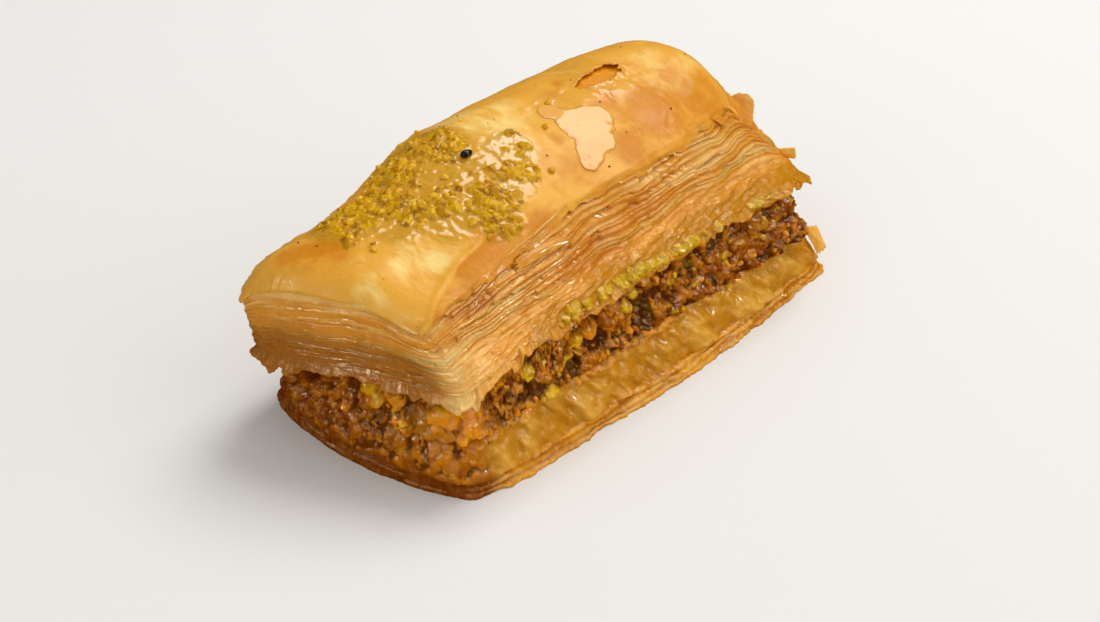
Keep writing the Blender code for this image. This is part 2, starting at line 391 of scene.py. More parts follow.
class PackedBits:
    """Chopped nuts pressed into a surface of the block: round bits that overlap, with hollows between."""

    edge = 2.3  # 2 gives round bits and more gives blocks
    tilt = 0.25  # how far their tops lean

    def __init__(self, seed, side, low=0.0, high=1.0, melt=0.08):
        self.draw = np.random.default_rng(seed)
        self.melt = melt  # how softly neighbours run into each other
        self.side = side
        self.heights = (low, high)
        self.centres, self.radii, self.kinds = [], [], []

    def add(self, u, v, radii, sunk, kinds):
        """Adds bits with these radii at (u, v), each sunk by a share of its radius. kinds gives the share
        of each kind of bit."""
        count = len(radii)
        x, y, z = self.side(u, v, self.draw.uniform(*self.heights, count), -sunk * radii)
        self.centres.append(np.stack([x, y, z], axis=-1))
        self.radii.append(radii)
        self.kinds.append(self.draw.choice(len(kinds), count, p=kinds))

    def strew(self, count, smallest, largest, sunk, kinds, flat=False):
        """Adds bits all round the side, or all over it where it is flat."""
        draw = self.draw
        trip = np.array([LENGTH, WIDTH, LENGTH, WIDTH])
        which = draw.choice(4, count, p=trip / trip.sum())
        t = draw.uniform(0.0, 1.0, count)
        u = np.choose(which, [t, np.ones(count), 1.0 - t, np.zeros(count)])
        v = np.choose(which, [np.zeros(count), t, np.ones(count), 1.0 - t])
        if flat:
            u, v = draw.uniform(0.0, FLAT_REACH, count), t
        self.add(u, v, draw.uniform(smallest, largest, count), sunk, kinds)

    def heap(self, count, smallest, largest, sunk, kinds, reach):
        """Adds bits round the near corner, as far along both sides as reach."""
        t = self.draw.uniform(-1.0, 1.0, count)
        radii = self.draw.uniform(smallest, largest, count)
        u, v = np.maximum(t, 0.0) * reach / LENGTH, np.maximum(-t, 0.0) * reach / WIDTH
        self.add(u, v, radii, sunk, kinds)

    def sift(self, amount):
        """Keeps each bit with the chance that amount(x, y) gives its place."""
        for index, centres in enumerate(self.centres):
            kept = self.draw.uniform(0.0, 1.0, len(centres)) < amount(centres[:, 0], centres[:, 1])
            self.centres[index] = centres[kept]
            self.radii[index], self.kinds[index] = self.radii[index][kept], self.kinds[index][kept]

    def place(self, x, y, z, radius, kind):
        """Adds one bit at its own place."""
        self.centres.append(np.array([[x, y, z]]))
        self.radii.append(np.array([radius]))
        self.kinds.append(np.array([kind]))

    def turns(self, count):
        """Three axes for every bit, each bit turned its own way."""
        return np.linalg.qr(self.draw.normal(size=(count, 3, 3)))[0]

    def relief(self, points, outward, floor):
        """How far the bits stand out over each point, with the share of each kind and the shade there."""
        centres, radii = np.concatenate(self.centres), np.concatenate(self.radii)
        kinds = np.concatenate(self.kinds)
        shades = self.draw.uniform(0.0, 1.0, len(radii))
        tree = kdtree.KDTree(len(radii))
        for index, centre in enumerate(centres.tolist()):
            tree.insert(centre, index)
        tree.balance()
        x, y, z = points.T
        warp = [sum(strength * rough(x, y, z + step * axis, size) for strength, step, size in BIT_WARP)
                for axis in range(3)]
        bent = points + np.stack(warp, axis=-1)
        tried = np.array([[found[1] for found in tree.find_n(p, BITS_TRIED)] for p in bent.tolist()])
        offset = centres[tried] - bent[:, None]
        along = np.einsum("ijk,ik->ij", offset, outward)
        aside = offset - along[..., None] * outward[:, None]
        along = np.minimum(along, BIT_HEADROOM)
        turned = np.einsum("ijk,ijkl->ijl", aside, self.turns(len(radii))[tried])
        reach = np.sum(np.abs(turned / radii[tried][..., None]) ** self.edge, axis=-1)
        dome = np.maximum(1.0 - reach, 0.0) ** (1.0 / self.edge) * radii[tried] + self.tilt * turned[..., 0]
        height = np.where(reach < 1.0, along + dome, floor)
        weight = np.exp((height - height.max(axis=1, keepdims=True)) / self.melt) * (height > floor)
        total = weight.sum(axis=1)
        covered = np.maximum(total, 1.0)
        shades = (weight * shades[tried]).sum(axis=1) / covered
        share = {kind: (weight * (kinds[tried] == kind)).sum(axis=1) / covered for kind in KINDS}
        return height.max(axis=1) + self.melt * np.log(covered), share, shades


def side_grid(side, u, v, heights):
    """Points of a side, row by row, and the direction that looks out from it at each."""
    inner, outer = (np.concatenate([np.stack(side(u, v, np.full_like(u, s), beyond), axis=-1)
                                    for s in heights]) for beyond in (-0.5, 0.5))
    outward = outer - inner
    outward /= np.linalg.norm(outward, axis=1)[:, None]
    return 0.5 * (inner + outer), outward


# ---------- Materials ----------
def feed(tree, socket, value):
    """Links value to a socket of the tree, or sets it there where it is the same all over."""
    value = value.socket if isinstance(value, Amount) else value
    if isinstance(value, bpy.types.NodeSocket):
        tree.links.new(value, socket)
    elif socket.type == "RGBA" and len(value) == 3:
        socket.default_value = (*value, 1.0)
    else:
        socket.default_value = value


class Amount:
    """A number that changes over a surface. Arithmetic on it adds Math nodes."""

    def __init__(self, recipe, socket):
        self.recipe = recipe
        self.socket = socket

    def combined(self, operation, *values):
        """The result of a Math node that works on values."""
        node = self.recipe.node("ShaderNodeMath", {"operation": operation}, dict(enumerate(values)))
        return Amount(self.recipe, node.outputs[0])

    def __add__(self, other):
        return self.combined("ADD", self, other)

    __radd__ = __add__

    def __sub__(self, other):
        return self.combined("SUBTRACT", self, other)

    def __rsub__(self, other):
        return self.combined("SUBTRACT", other, self)

    def __mul__(self, other):
        return self.combined("MULTIPLY", self, other)

    __rmul__ = __mul__

    def swing(self, width):
        """For a number from 0 to 1: the same round 0, from minus to plus half the width."""
        return (self - 0.5) * width

    def limited(self):
        """The same, kept from 0 to 1."""
        return self.recipe.node("ShaderNodeClamp", {}, {"Value": self, "Min": 0.0, "Max": 1.0}, Amount)

    def between(self, low, high):
        """0 below low and 1 above high, with a soft change."""
        settings = {"interpolation_type": "SMOOTHSTEP", "clamp": True}
        values = {"Value": self, "From Min": low, "From Max": high, "To Min": 0.0, "To Max": 1.0}
        return self.recipe.node("ShaderNodeMapRange", settings, values, Amount)


SYRUP_SHINE = (1.0, 0.80, 0.44, 1.0)  # the tint of what a syrupy surface mirrors
GLOW_SPREAD = (1.0, 0.45, 0.15)  # how far red, green and blue light run under the surface


class Recipe:
    """A material made of nodes round one Principled shader."""

    def __init__(self, name, roughness=0.4, coat=0.0, coat_roughness=0.05, glow=0.0, glow_reach=1.5,
                 shine=0.12):
        self.material = bpy.data.materials.new(name)
        self.material.use_nodes = True
        self.tree = self.material.node_tree
        self.shader = self.tree.nodes["Principled BSDF"]
        constants = {
            "Roughness": roughness, "Coat Weight": coat, "Coat Roughness": coat_roughness,
            "Subsurface Weight": glow, "Subsurface Scale": glow_reach * MM,
            "Subsurface Radius": GLOW_SPREAD, "Specular IOR Level": shine, "Specular Tint": SYRUP_SHINE,
        }
        for label, value in constants.items():
            self.shader.inputs[label].default_value = value
        self.place = self.node("ShaderNodeTexCoord", {}, {}).outputs["Object"]

    def node(self, kind, settings, values, result=None):
        """Adds a node: its settings first, then its sockets' values or links. With result, its first
        output comes back as that kind of thing."""
        node = self.tree.nodes.new(kind)
        for label, value in settings.items():
            setattr(node, label, value)
        for label, value in values.items():
            feed(self.tree, node.inputs[label], value)
        return result(self, node.outputs[0]) if result else node

    def stretched(self, stretch, turn=0.0):
        """Object coordinates, stretched per axis and turned about the vertical."""
        values = {"Vector": self.place, "Rotation": (0.0, 0.0, turn), "Scale": stretch}
        return self.node("ShaderNodeMapping", {}, values).outputs[0]

    def cloud(self, size, detail=3.0, roughness=0.55, warp=0.0, where=None):
        """Soft noise from 0 to 1 whose patches are size millimetres wide."""
        values = {"Vector": where or self.place, "Scale": 1.0 / (size * MM), "Detail": detail,
                  "Roughness": roughness, "Distortion": warp}
        return self.node("ShaderNodeTexNoise", {}, values, Amount)

    def cells(self, size):
        """Distance to the nearest of scattered points that are size millimetres apart."""
        values = {"Vector": self.place, "Scale": 1.0 / (size * MM)}
        return self.node("ShaderNodeTexVoronoi", {}, values, Amount)

    def shares(self, *names):
        """Numbers that are kept on the piece's points."""
        nodes = [self.node("ShaderNodeAttribute", {"attribute_name": name}, {}) for name in names]
        return [Amount(self, node.outputs["Fac"]) for node in nodes]

    def blend(self, first, second, factor):
        """Two colours mixed. The sockets are told apart by number, as they share their names."""
        node = self.node("ShaderNodeMix", {"data_type": "RGBA"}, {"Factor": factor})
        feed(self.tree, node.inputs[6], first)
        feed(self.tree, node.inputs[7], second)
        return node.outputs[2]

    def layered(self, colour, *layers):
        """A colour with others laid over it, each with the share that it covers."""
        for other, share in layers:
            colour = self.blend(colour, other, share)
        return colour

    def bump(self, height, depth):
        """A normal bent by height, whose full range stands for depth millimetres."""
        values = {"Height": height, "Distance": depth * MM, "Strength": 1.0}
        return self.node("ShaderNodeBump", {}, values).outputs[0]

    def wears(self, **links):
        """Feeds the shader's sockets: Base_Color=..., Roughness=..., Normal=..."""
        for label, value in links.items():
            feed(self.tree, self.shader.inputs[label.replace("_", " ")], value)
        return self.material


def ink(red, green, blue):
    """A colour given by screen values from 0 to 255, as the linear numbers that shaders use."""
    values = np.array([red, green, blue]) / 255.0
    linear = np.where(values <= 0.04045, values / 12.92, ((values + 0.055) / 1.055) ** 2.4)
    return tuple(float(value) for value in linear)


# ---------- Sizes and colours that can be changed ----------
def length_property(name, description, millimetres):
    """A length that can be changed, given in millimetres."""
    return FloatProperty(name=name, description=description, default=millimetres * MM, min=0.0,
                         unit="LENGTH", precision=5)


def colour_property(name, description, *screen):
    """A colour that can be changed, given by screen values."""
    return FloatVectorProperty(name=name, description=description, default=ink(*screen),
                               subtype="COLOR", size=3, min=0.0, max=1.0)


def power_property(name, description, watts):
    """The power of a light."""
    return FloatProperty(name=name, description=description, default=watts, min=0.0, unit="POWER")


class SkinSizes(PropertyGroup):
    """The crisp top leaf."""

    thickness: length_property("Thickness", "Thickness of the top leaf", 0.22)
    crease: length_property("Crease depth", "Depth of the fine creases in the top leaf", 0.11)
    film: length_property("Syrup film", "Thickness of the syrup between the crumbs", 0.22)
    gold: colour_property("Gold", "Colour of the baked leaf", 240, 168, 56)
    # also the paler diagonal streaks, which are partly painted highlight
    pale: colour_property("Pale", "Colour where the leaf is least baked", 255, 212, 124)
    brown: colour_property("Browned", "Colour of the browned patches", 214, 130, 12)
    soaked: colour_property("Soaked", "Colour of the leaf under the crumbs", 206, 146, 30)
    # the tear's orange, made lighter as painted light against the shade inside the tear
    torn: colour_property("Torn", "Colour of the leaf inside the tear", 240, 150, 14)
    green: colour_property("Green", "Colour of the pistachio crumbs", 190, 126, 0)
    yellow: colour_property("Yellow", "Colour of the lightest crumbs", 240, 178, 16)


class LeafSizes(PropertyGroup):
    """The stack of thin leaves under the skin."""

    count: IntProperty(name="Leaves", description="Number of leaves in the stack", default=21, min=4)
    wander: length_property("Wander", "How far the leaves' edges wander in and out", 0.16)
    fray: length_property("Fray", "Raggedness of the leaves' edges", 0.05)
    gap: length_property("Gap", "Depth of the deepest gaps between two leaves", 0.24)
    wrinkle: length_property("Wrinkle", "Depth of the fine wrinkles of soaked leaves", 0.26)
    straw: colour_property("Straw", "Usual colour of the leaves", 230, 154, 52)
    # also paints light on the top of the front end
    pale: colour_property("Pale", "Colour of the least soaked leaves", 252, 202, 118)
    amber: colour_property("Amber", "Colour of soaked leaves and of gaps", 204, 112, 6)
    # also lays painted shade in the gaps between leaves, with syrup soaked there
    brown: colour_property("Browned", "Colour where the stack is browned", 176, 86, 4)
    hem: colour_property("Hem", "Colour of the leaves over the nuts", 194, 126, 0)
    # painted shade: the colour that darkens the front end low down
    shade: colour_property("Shade", "Colour low down on the front end", 158, 94, 26)


class FillingSizes(PropertyGroup):
    """The chopped nuts in syrup."""

    # the hollows' colour: syrup gathered there, with painted shade
    syrup: colour_property("Syrup", "Colour of the syrup in the hollows", 76, 28, 0)
    # also darkens the front end: syrup there, with painted shade
    dark: colour_property("Dark nut", "Colour of the most soaked nuts", 142, 64, 0)
    nut: colour_property("Nut", "Colour of the least soaked nuts", 244, 152, 8)
    kernel: colour_property("Kernel", "Colour of the pistachio bits", 242, 192, 22)
    husk: colour_property("Husk", "Colour of the bits' reddish skins", 232, 142, 52)


class BaseSizes(PropertyGroup):
    """The soaked base."""

    fold: length_property("Fold", "Depth of the soaked leaves' soft folds", 0.62)
    soaked: colour_property("Soaked", "Colour of the soaked pastry", 200, 132, 16)
    # painted light: the lighter colour that fold lays on the crests of the folds
    light: colour_property("Light", "Colour of the folds' crests", 226, 166, 58)
    # also darkens the front end, where syrup gathers, with painted shade
    dark: colour_property("Dark", "Colour where syrup has gathered", 154, 78, 0)
    crust: colour_property("Crust", "Colour of the lowest, crisp leaves", 238, 162, 36)


class ToppingSizes(PropertyGroup):
    """What lies on the skin."""

    crumb: length_property("Crumb", "Width of the largest usual pistachio crumb", 1.3)
    puddle: length_property("Puddle", "Thickness of the syrup puddle", 0.16)


class StageSizes(PropertyGroup):
    """The floor and lights."""

    floor: colour_property("Floor", "Colour of the floor", 238, 236, 232)
    key: power_property("Key light", "Power of the main light", 3.0)
    fill: power_property("Fill light", "Power of the large low light", 2.5)
    front: power_property("Front light", "Power of the large light on the front end", 1.5)
    glint: power_property("Glint light", "Power of each small light for the wet glints", 1.5)
    room: FloatProperty(name="Room light", description="Strength of the even light all round",
                        default=0.42, min=0.0)


class BaklavaSizes(PropertyGroup):
    """Everything that can be changed."""

    skin: PointerProperty(name="Skin", description="The crisp top leaf", type=SkinSizes)
    leaves: PointerProperty(name="Leaves", description="The stack of leaves", type=LeafSizes)
    filling: PointerProperty(name="Filling", description="The nut filling", type=FillingSizes)
    base: PointerProperty(name="Base", description="The soaked base", type=BaseSizes)
    topping: PointerProperty(name="Topping", description="Crumbs and syrup", type=ToppingSizes)
    stage: PointerProperty(name="Stage", description="Floor, lights and camera", type=StageSizes)


# ---------- The skin ----------
SKIN_COLUMNS = 300
SKIN_ROWS = 140
UNDER_GRID = (150, 80, (0.01, 0.015), (0.99, 0.985))  # columns, rows, and where it starts and ends
BED_GRID = (250, 185, (0.01, 0.0), (0.54, 0.985))
ROLL_ROWS = 10  # of the skin's near edge, which is bent down over the leaves
SIDE_SLOPE_LENGTH = 12.5  # of the near side, from its foot to the skin
UNDER_DEPTH = 0.5  # how far the second leaf lies below the skin
BED_WALL = 0.1  # thickness of the sheet that carries the syrup and its crumbs
SKIN_UP = (0.0, -0.25, 0.968)  # the way that crumbs stand out of the skin, which leans to the near side
FILM_MELT = 0.05  # how softly the syrup climbs the crumbs
SKIN_FRAY_REACH = 1.6  # how far in from the skin's edges they are torn and bent down
FOLD_PLACE = 8.4  # y of the line where the skin folds down to the near side
FOLD_DIP = 4.5  # how much nearer that line is at the front end
FOLD_DIP_REACH = 6.0
HOLE_PLACE = (49.0, 21.6)  # the tear in the skin
HOLE_HALF = (4.2, 1.45)
HOLE_TURN = math.radians(-8.0)
HOLE_BEND = (0.5, 0.5)  # how far the tear winds to the sides, and how quickly

BROWNED = (  # x, y, radius, strength
    (0.8, 22.4, 4.0, 0.9), (-2.4, 25.6, 3.0, 0.7), (16.0, 8.4, 3.4, 0.8), (32.0, 11.2, 4.6, 0.6),
    (42.0, 9.8, 4.6, 0.8), (50.0, 12.6, 6.4, 0.95), (58.0, 11.6, 5.0, 0.85), (34.0, 15.2, 1.6, 0.5),
    (46.0, 16.5, 3.6, 0.7), (57.0, 17.0, 3.0, 0.6), (61.0, 13.0, 3.4, 0.7),
    (43.4, 24.0, 1.5, 0.7), (40.6, 22.6, 1.8, 0.6), (48.4, 28.0, 1.6, 0.5),
)
PALE = (
    (8.0, 11.4, 1.8, 0.9), (4.0, 13.4, 2.6, 0.8), (-0.5, 14.5, 2.0, 0.8), (21.3, 13.2, 1.4, 0.7),
    (30.5, 21.0, 4.0, 0.9), (33.5, 25.5, 3.0, 0.7), (54.5, 15.2, 3.2, 0.7), (62.0, 17.5, 2.6, 0.6),
    (27.5, 28.5, 3.0, 0.5), (57.5, 21.0, 3.0, 0.5), (1.5, 17.5, 1.6, 0.5),
)
SYRUP_FILM = (  # x, y, radius
    (6.0, 24.5, 6.0), (9.0, 18.8, 4.0), (14.0, 20.0, 7.6), (20.0, 25.0, 7.4), (18.4, 11.6, 4.4),
    (24.0, 14.6, 4.6), (13.2, 13.6, 3.0), (27.5, 17.5, 4.0), (19.0, 17.0, 5.0),
)
WET_TEAR = ((48.0, 22.0, 6.5), (39.0, 20.5, 4.5))
CRUMB_PATCH = (
    (5.5, 24.5, 4.4), (10.5, 24.5, 6.0), (11.0, 20.0, 4.0), (17.5, 25.0, 6.0), (22.0, 24.0, 4.0),
    (18.2, 10.9, 3.7), (20.8, 9.9, 2.2), (15.4, 16.5, 3.0), (20.5, 15.0, 3.4), (25.6, 14.0, 2.2),
    (9.0, 28.0, 4.0), (17.0, 29.0, 4.0), (27.6, 16.6, 2.0),
)
CRUMB_BARE = (  # x, y, radius, strength
    (12.6, 12.8, 2.4, 0.95), (16.4, 19.0, 2.2, 0.7), (20.6, 18.2, 2.6, 0.8), (14.6, 14.4, 1.8, 0.7),
    (24.5, 19.0, 3.0, 0.9), (27.0, 22.5, 3.0, 0.8), (9.6, 16.4, 1.6, 0.5),
)
CRUMB_DENSE = (
    (7.0, 25.6, 5.0, 0.5), (15.0, 26.5, 6.0, 0.5), (18.4, 10.9, 3.0, 1.0), (11.5, 21.5, 3.0, 0.4),
    (26.0, 14.4, 1.6, 0.5),
)
STRAY_CRUMBS = (  # x, y, radius
    (38.6, 22.0, 0.9), (37.2, 21.6, 0.7), (22.0, 31.6, 1.1), (30.6, 18.9, 1.0), (34.6, 18.4, 0.7),
    (24.0, 30.4, 0.9), (2.6, 20.4, 0.8), (4.4, 18.4, 0.9), (33.0, 27.5, 0.7), (27.4, 26.0, 0.8),
    (28.8, 12.0, 0.6), (29.0, 19.8, 0.7), (23.6, 9.2, 0.6),
)
ONE_KIND = (1.0,)  # the share of each kind of bit, where all are alike


def creases(x, y):
    """Fine wrinkles of a crisp thin leaf, from -1 to 1."""
    bend_x = x + 2.2 * rough(x, y, 3.0, 7.0)
    bend_y = y + 2.2 * rough(x, y, 9.0, 7.0)
    folds = 1.0 - 2.0 * np.abs(rough(0.7 * bend_x, 1.5 * bend_y, 21.0, 5.2))
    small = 1.0 - 2.0 * np.abs(rough(bend_x, bend_y, 33.0, 2.1))
    fine = rough(x, y, 41.0, 0.9)
    where = smooth(0.5 + 0.9 * rough(x, y, 57.0, 9.0))
    return 0.9 * folds * where + 0.35 * small + 0.2 * fine


def hole_distance(x, y):
    """Below 1 inside the tear in the skin, with a ragged rim."""
    dx, dy = x - HOLE_PLACE[0], y - HOLE_PLACE[1]
    along = dx * math.cos(HOLE_TURN) + dy * math.sin(HOLE_TURN)
    across = dy * math.cos(HOLE_TURN) - dx * math.sin(HOLE_TURN)
    bent = across - HOLE_BEND[0] * np.sin(HOLE_BEND[1] * along)
    ragged = 0.22 * rough(x, y, 71.0, 2.2) + 0.16 * rough(x, y, 77.0, 0.8)
    return np.hypot(along / HOLE_HALF[0], bent / HOLE_HALF[1]) + ragged


def fold_line(x):
    """Where the top leaf folds down towards the near side."""
    dip = FOLD_DIP * np.exp(-np.maximum(x, -1.0) / FOLD_DIP_REACH)
    return FOLD_PLACE - dip + 0.7 * rough(x, 0.0, 3.0, 6.0)


def skin_looks(x, y):
    """Where the skin is browned, pale and wet, at each place."""
    beyond = y - fold_line(x)
    near = 1.0 - smooth((x - 15.0) / 8.0)
    band = smooth((1.8 - beyond) / mix(3.0, 0.8, near)) * smooth((beyond + 3.6) / 1.6)
    band = band * smooth((x + 1.0) / 3.0) * (mix(0.62, 0.85, near) + 0.5 * rough(0.6 * x, y, 12.0, 3.4))
    rumpled = np.exp(-((hole_distance(x, y) - 1.15) ** 2) / 0.05) * (0.45 + 0.4 * rough(x, y, 63.0, 2.2))
    brown = np.maximum(np.maximum(spots(x, y, BROWNED), band), rumpled)
    wet = np.maximum(smooth(2.5 * blobs(x, y, SYRUP_FILM)), 0.7 * smooth(2.0 * blobs(x, y, WET_TEAR)))
    return {"brown": brown, "pale": spots(x, y, PALE), "wet": wet}


def skin_grid(columns, rows, low=(0.0, 0.0), high=(1.0, 1.0)):
    """Evenly spread (u, v) places of a part of the skin."""
    grid = np.meshgrid(np.linspace(low[0], high[0], columns), np.linspace(low[1], high[1], rows))
    return grid[0].ravel(), grid[1].ravel()


def skin_surface(u, v, sizes, lift=0.0):
    """The skin's points over the block, with its creases. lift raises them over it."""
    x, y, z = stack_point(u, v, np.ones_like(u), 0.0)
    ridge = np.exp(-(((y - fold_line(x) - 1.6) / 0.7) ** 2)) * (1.0 - smooth((x - 12.0) / 8.0))
    return x, y, z + lift + 0.25 * ridge + sizes.crease / MM * creases(x, y)


def make_skin(sizes):
    """The top leaf with its tear: frayed at its edges, and bent down over the leaves at the near side."""
    u, v = skin_grid(SKIN_COLUMNS, SKIN_ROWS)
    u = u - 0.02 * np.sin(2.0 * np.pi * u)
    x, y, z = skin_surface(u, v, sizes)
    px, py = LENGTH * u, WIDTH * v
    near_ends = smooth(1.0 - np.minimum(u, 1.0 - u) * LENGTH / SKIN_FRAY_REACH)
    near_back = smooth(1.0 - (1.0 - v) * WIDTH / SKIN_FRAY_REACH)
    teeth = 0.20 * rough(px, py, 15.0, 1.2) + 0.16 * rough(px, py, 25.0, 0.5)
    fray = 0.28 + 0.2 * rough(px, py, 5.0, 6.0) + teeth * mix(0.35, 1.3, smooth((v - 0.55) / 0.4))
    x = x + np.sign(u - 0.5) * near_ends * fray
    y = y + near_back * fray
    z = z - 0.35 * np.maximum(near_ends, near_back) ** 2
    edge_u = u[:SKIN_COLUMNS]
    roll = 1.5 + 1.3 * rough(LENGTH * edge_u, 0.0, 2.0, 9.0) + 0.45 * rough(LENGTH * edge_u, 0.0, 8.0, 2.2)
    roll = roll + 0.25 * rough(LENGTH * edge_u, 0.0, 12.0, 0.7)
    for row in range(1, ROLL_ROWS + 1):
        t = row / ROLL_ROWS
        s = 1.0 - t * np.maximum(roll, 0.2) / SIDE_SLOPE_LENGTH
        ribs = 0.10 * rough(0.15 * LENGTH * edge_u, 0.0, t * roll + 30.0, 0.6)
        side = stack_point(edge_u, np.zeros_like(edge_u), s, 0.22 - 0.30 * t * t + ribs)
        ends = np.sign(edge_u - 0.5) * near_ends[:SKIN_COLUMNS] * fray[:SKIN_COLUMNS]
        x, y = np.concatenate([side[0] + ends, x]), np.concatenate([side[1], y])
        z = np.concatenate([side[2] + 0.12 * (1.0 - t), z])
    hole = hole_distance(x, y)
    curl = np.exp(-np.maximum(0.0, hole - 1.0) * 7.0)
    z = z + 0.35 * curl * (0.6 + 0.8 * rough(x, y, 66.0, 2.5))
    faces = grid_faces(SKIN_COLUMNS, SKIN_ROWS + ROLL_ROWS)
    parts = cut_out(placed(x, y, z), faces, hole > 1.0, dict(skin_looks(x, y), torn=0.0 * x))
    return thickened(new_piece("skin_open", *parts), sizes.thickness / MM, "top_skin")


def make_under_skin(sizes):
    """The leaf below the skin, which shows in the tear."""
    u, v = skin_grid(*UNDER_GRID)
    x, y, z = stack_point(u, v, np.ones_like(u), 0.0)
    z = z - UNDER_DEPTH + 0.12 * rough(x, y, 91.0, 4.0)
    looks = {"brown": 0.0 * x, "pale": 0.0 * x, "wet": 1.0 + 0.0 * x, "torn": 1.0 + 0.0 * x}
    sheet = new_piece("under_open", placed(x, y, z), grid_faces(*UNDER_GRID[:2]), looks)
    return thickened(sheet, sizes.thickness / MM, "under_skin")


def crumb_amount(x, y):
    """How thickly the crumbs lie at each place on the skin."""
    patch = smooth(3.0 * (blobs(x, y, CRUMB_PATCH) + 0.14 * rough(x, y, 81.0, 3.2)))
    amount = patch * np.clip(0.40 + 1.1 * rough(x, y, 84.0, 2.6) + spots(x, y, CRUMB_DENSE), 0.0, 1.0)
    amount = amount * (1.0 - spots(x, y, CRUMB_BARE))
    return np.maximum(amount, smooth(2.0 * blobs(x, y, STRAY_CRUMBS)))


def make_crumb_bed(sizes):
    """The syrup on the skin, in small ripples, with the crumbs that are sunk in it."""
    u, v = skin_grid(*BED_GRID)
    x, y, z = skin_surface(u, v, sizes)
    inside = blobs(x, y, SYRUP_FILM) + 0.10 * rough(x, y, 31.0, 3.0) + 0.05 * rough(x, y, 37.0, 1.0)
    ripple = 0.5 + 0.5 * rough(x, y, 11.0, 1.8) + 0.45 * rough(x, y, 17.0, 0.9)
    film = sizes.film / MM * smooth(2.2 * inside) * np.clip(ripple, 0.05, 1.3)
    bits = PackedBits(31, lambda u, v, s, out: skin_surface(u, v, sizes, out), melt=0.05)
    for count, smallest, largest, sunk in ((320, 0.65, 0.95, 0.30), (1500, 0.40, 0.70, 0.30),
                                           (3600, 0.20, 0.42, 0.15)):
        bits.strew(count, smallest, largest, sunk, ONE_KIND, flat=True)
    bits.sift(crumb_amount)
    points = np.stack([x, y, z], axis=-1)
    up = np.broadcast_to(SKIN_UP, points.shape)
    height, share, shades = bits.relief(points, up, 0.0)
    height = height * smooth(4.0 * inside)
    crumb = smooth((height - film) / 0.10 + 0.3) * share[NUT]
    rim = 0.14 * (1.0 - smooth(4.0 * inside))
    depth = FILM_MELT * np.logaddexp(height / FILM_MELT, film / FILM_MELT) - rim
    looks = dict(skin_looks(x, y), crumb=crumb, tint=shades)
    points = points + up * depth[:, None]
    parts = cut_out(placed(*points.T), grid_faces(*BED_GRID[:2]), inside > 0.0, looks)
    return thickened(new_piece("bed_open", *parts), BED_WALL, "crumb_bed")


# ---------- The leaves ----------
LEAF_COLUMNS = (480, 150, 230, 260)  # near, far, back, front
LEAF_PROFILE = ((0.0, 0.0), (0.2, 0.72), (0.55, 1.0), (0.86, 0.9))  # share of the height, of the way out
STACK_TOP = 0.985
SKIRT_TOP = 0.20  # share of the stack's height that the outer, lower leaf covers
SKIRT_ROWS = 26
SKIRT_WALL = 0.16
SHEAR = 0.22  # how far the fine wrinkles climb along the sides

HEM_CRUMBS = (  # x, radius, strength
    (33.5, 4.4, 1.4), (44.2, 2.8, 1.5), (57.0, 1.5, 1.4), (20.0, 2.0, 0.9), (26.0, 1.2, 0.5),
)
NEAR_SOAKED = (  # x, share of the stack's height, radius in x, strength
    (27.0, 0.46, 10.0, 0.9), (39.0, 0.60, 7.0, 0.7), (17.0, 0.52, 6.0, 0.6), (47.0, 0.40, 8.0, 0.45),
)
NEAR_BROWNED = (
    (9.0, 0.80, 6.0, 0.9), (3.0, 0.55, 3.5, 0.4), (32.0, 0.93, 8.0, 0.5), (20.5, 0.08, 3.5, 0.9),
    (45.0, 0.92, 6.0, 0.4),
)
NEAR_PALE = (
    (54.0, 0.72, 9.0, 0.9), (3.5, 0.20, 4.0, 0.9), (14.0, 0.62, 4.0, 0.5), (44.0, 0.78, 4.0, 0.6),
    (30.0, 0.70, 4.0, 0.4), (62.0, 0.45, 6.0, 0.7),
)
CRACKS = (  # x, lowest share of the height, strength
    (45.2, 0.55, 0.45), (47.4, 0.7, 0.35), (57.6, 0.75, 0.4),
)
CRACK_WIDTH = 0.34


def leaf_heights(count, px, py):
    """Where each leaf starts round the stack, from its foot to its top: leaves swell and thin out."""
    draw = np.random.default_rng(11)
    steps = []
    for leaf in range(count):
        swell = 0.9 * rough(px, py, 37.0 * leaf, 14.0) + 0.2 * rough(px, py, 37.0 * leaf + 9.0, 5.0)
        steps.append(draw.uniform(0.45, 1.6) * np.clip(1.0 + swell, 0.2, 2.4))
    edges = np.cumsum([np.zeros_like(px), *steps], axis=0)
    return STACK_TOP * edges / edges[-1]


def side_spots(px, v, s, places, tall=0.22):
    """Soft spots on the near side, at places (x, share of the height, radius in x, strength)."""
    total = np.zeros_like(px)
    for x, height, radius, strength in places:
        away = ((px - x) / radius) ** 2 + ((s - height) / tall) ** 2
        total = np.maximum(total, strength * np.exp(-away))
    return total * near_share(v)


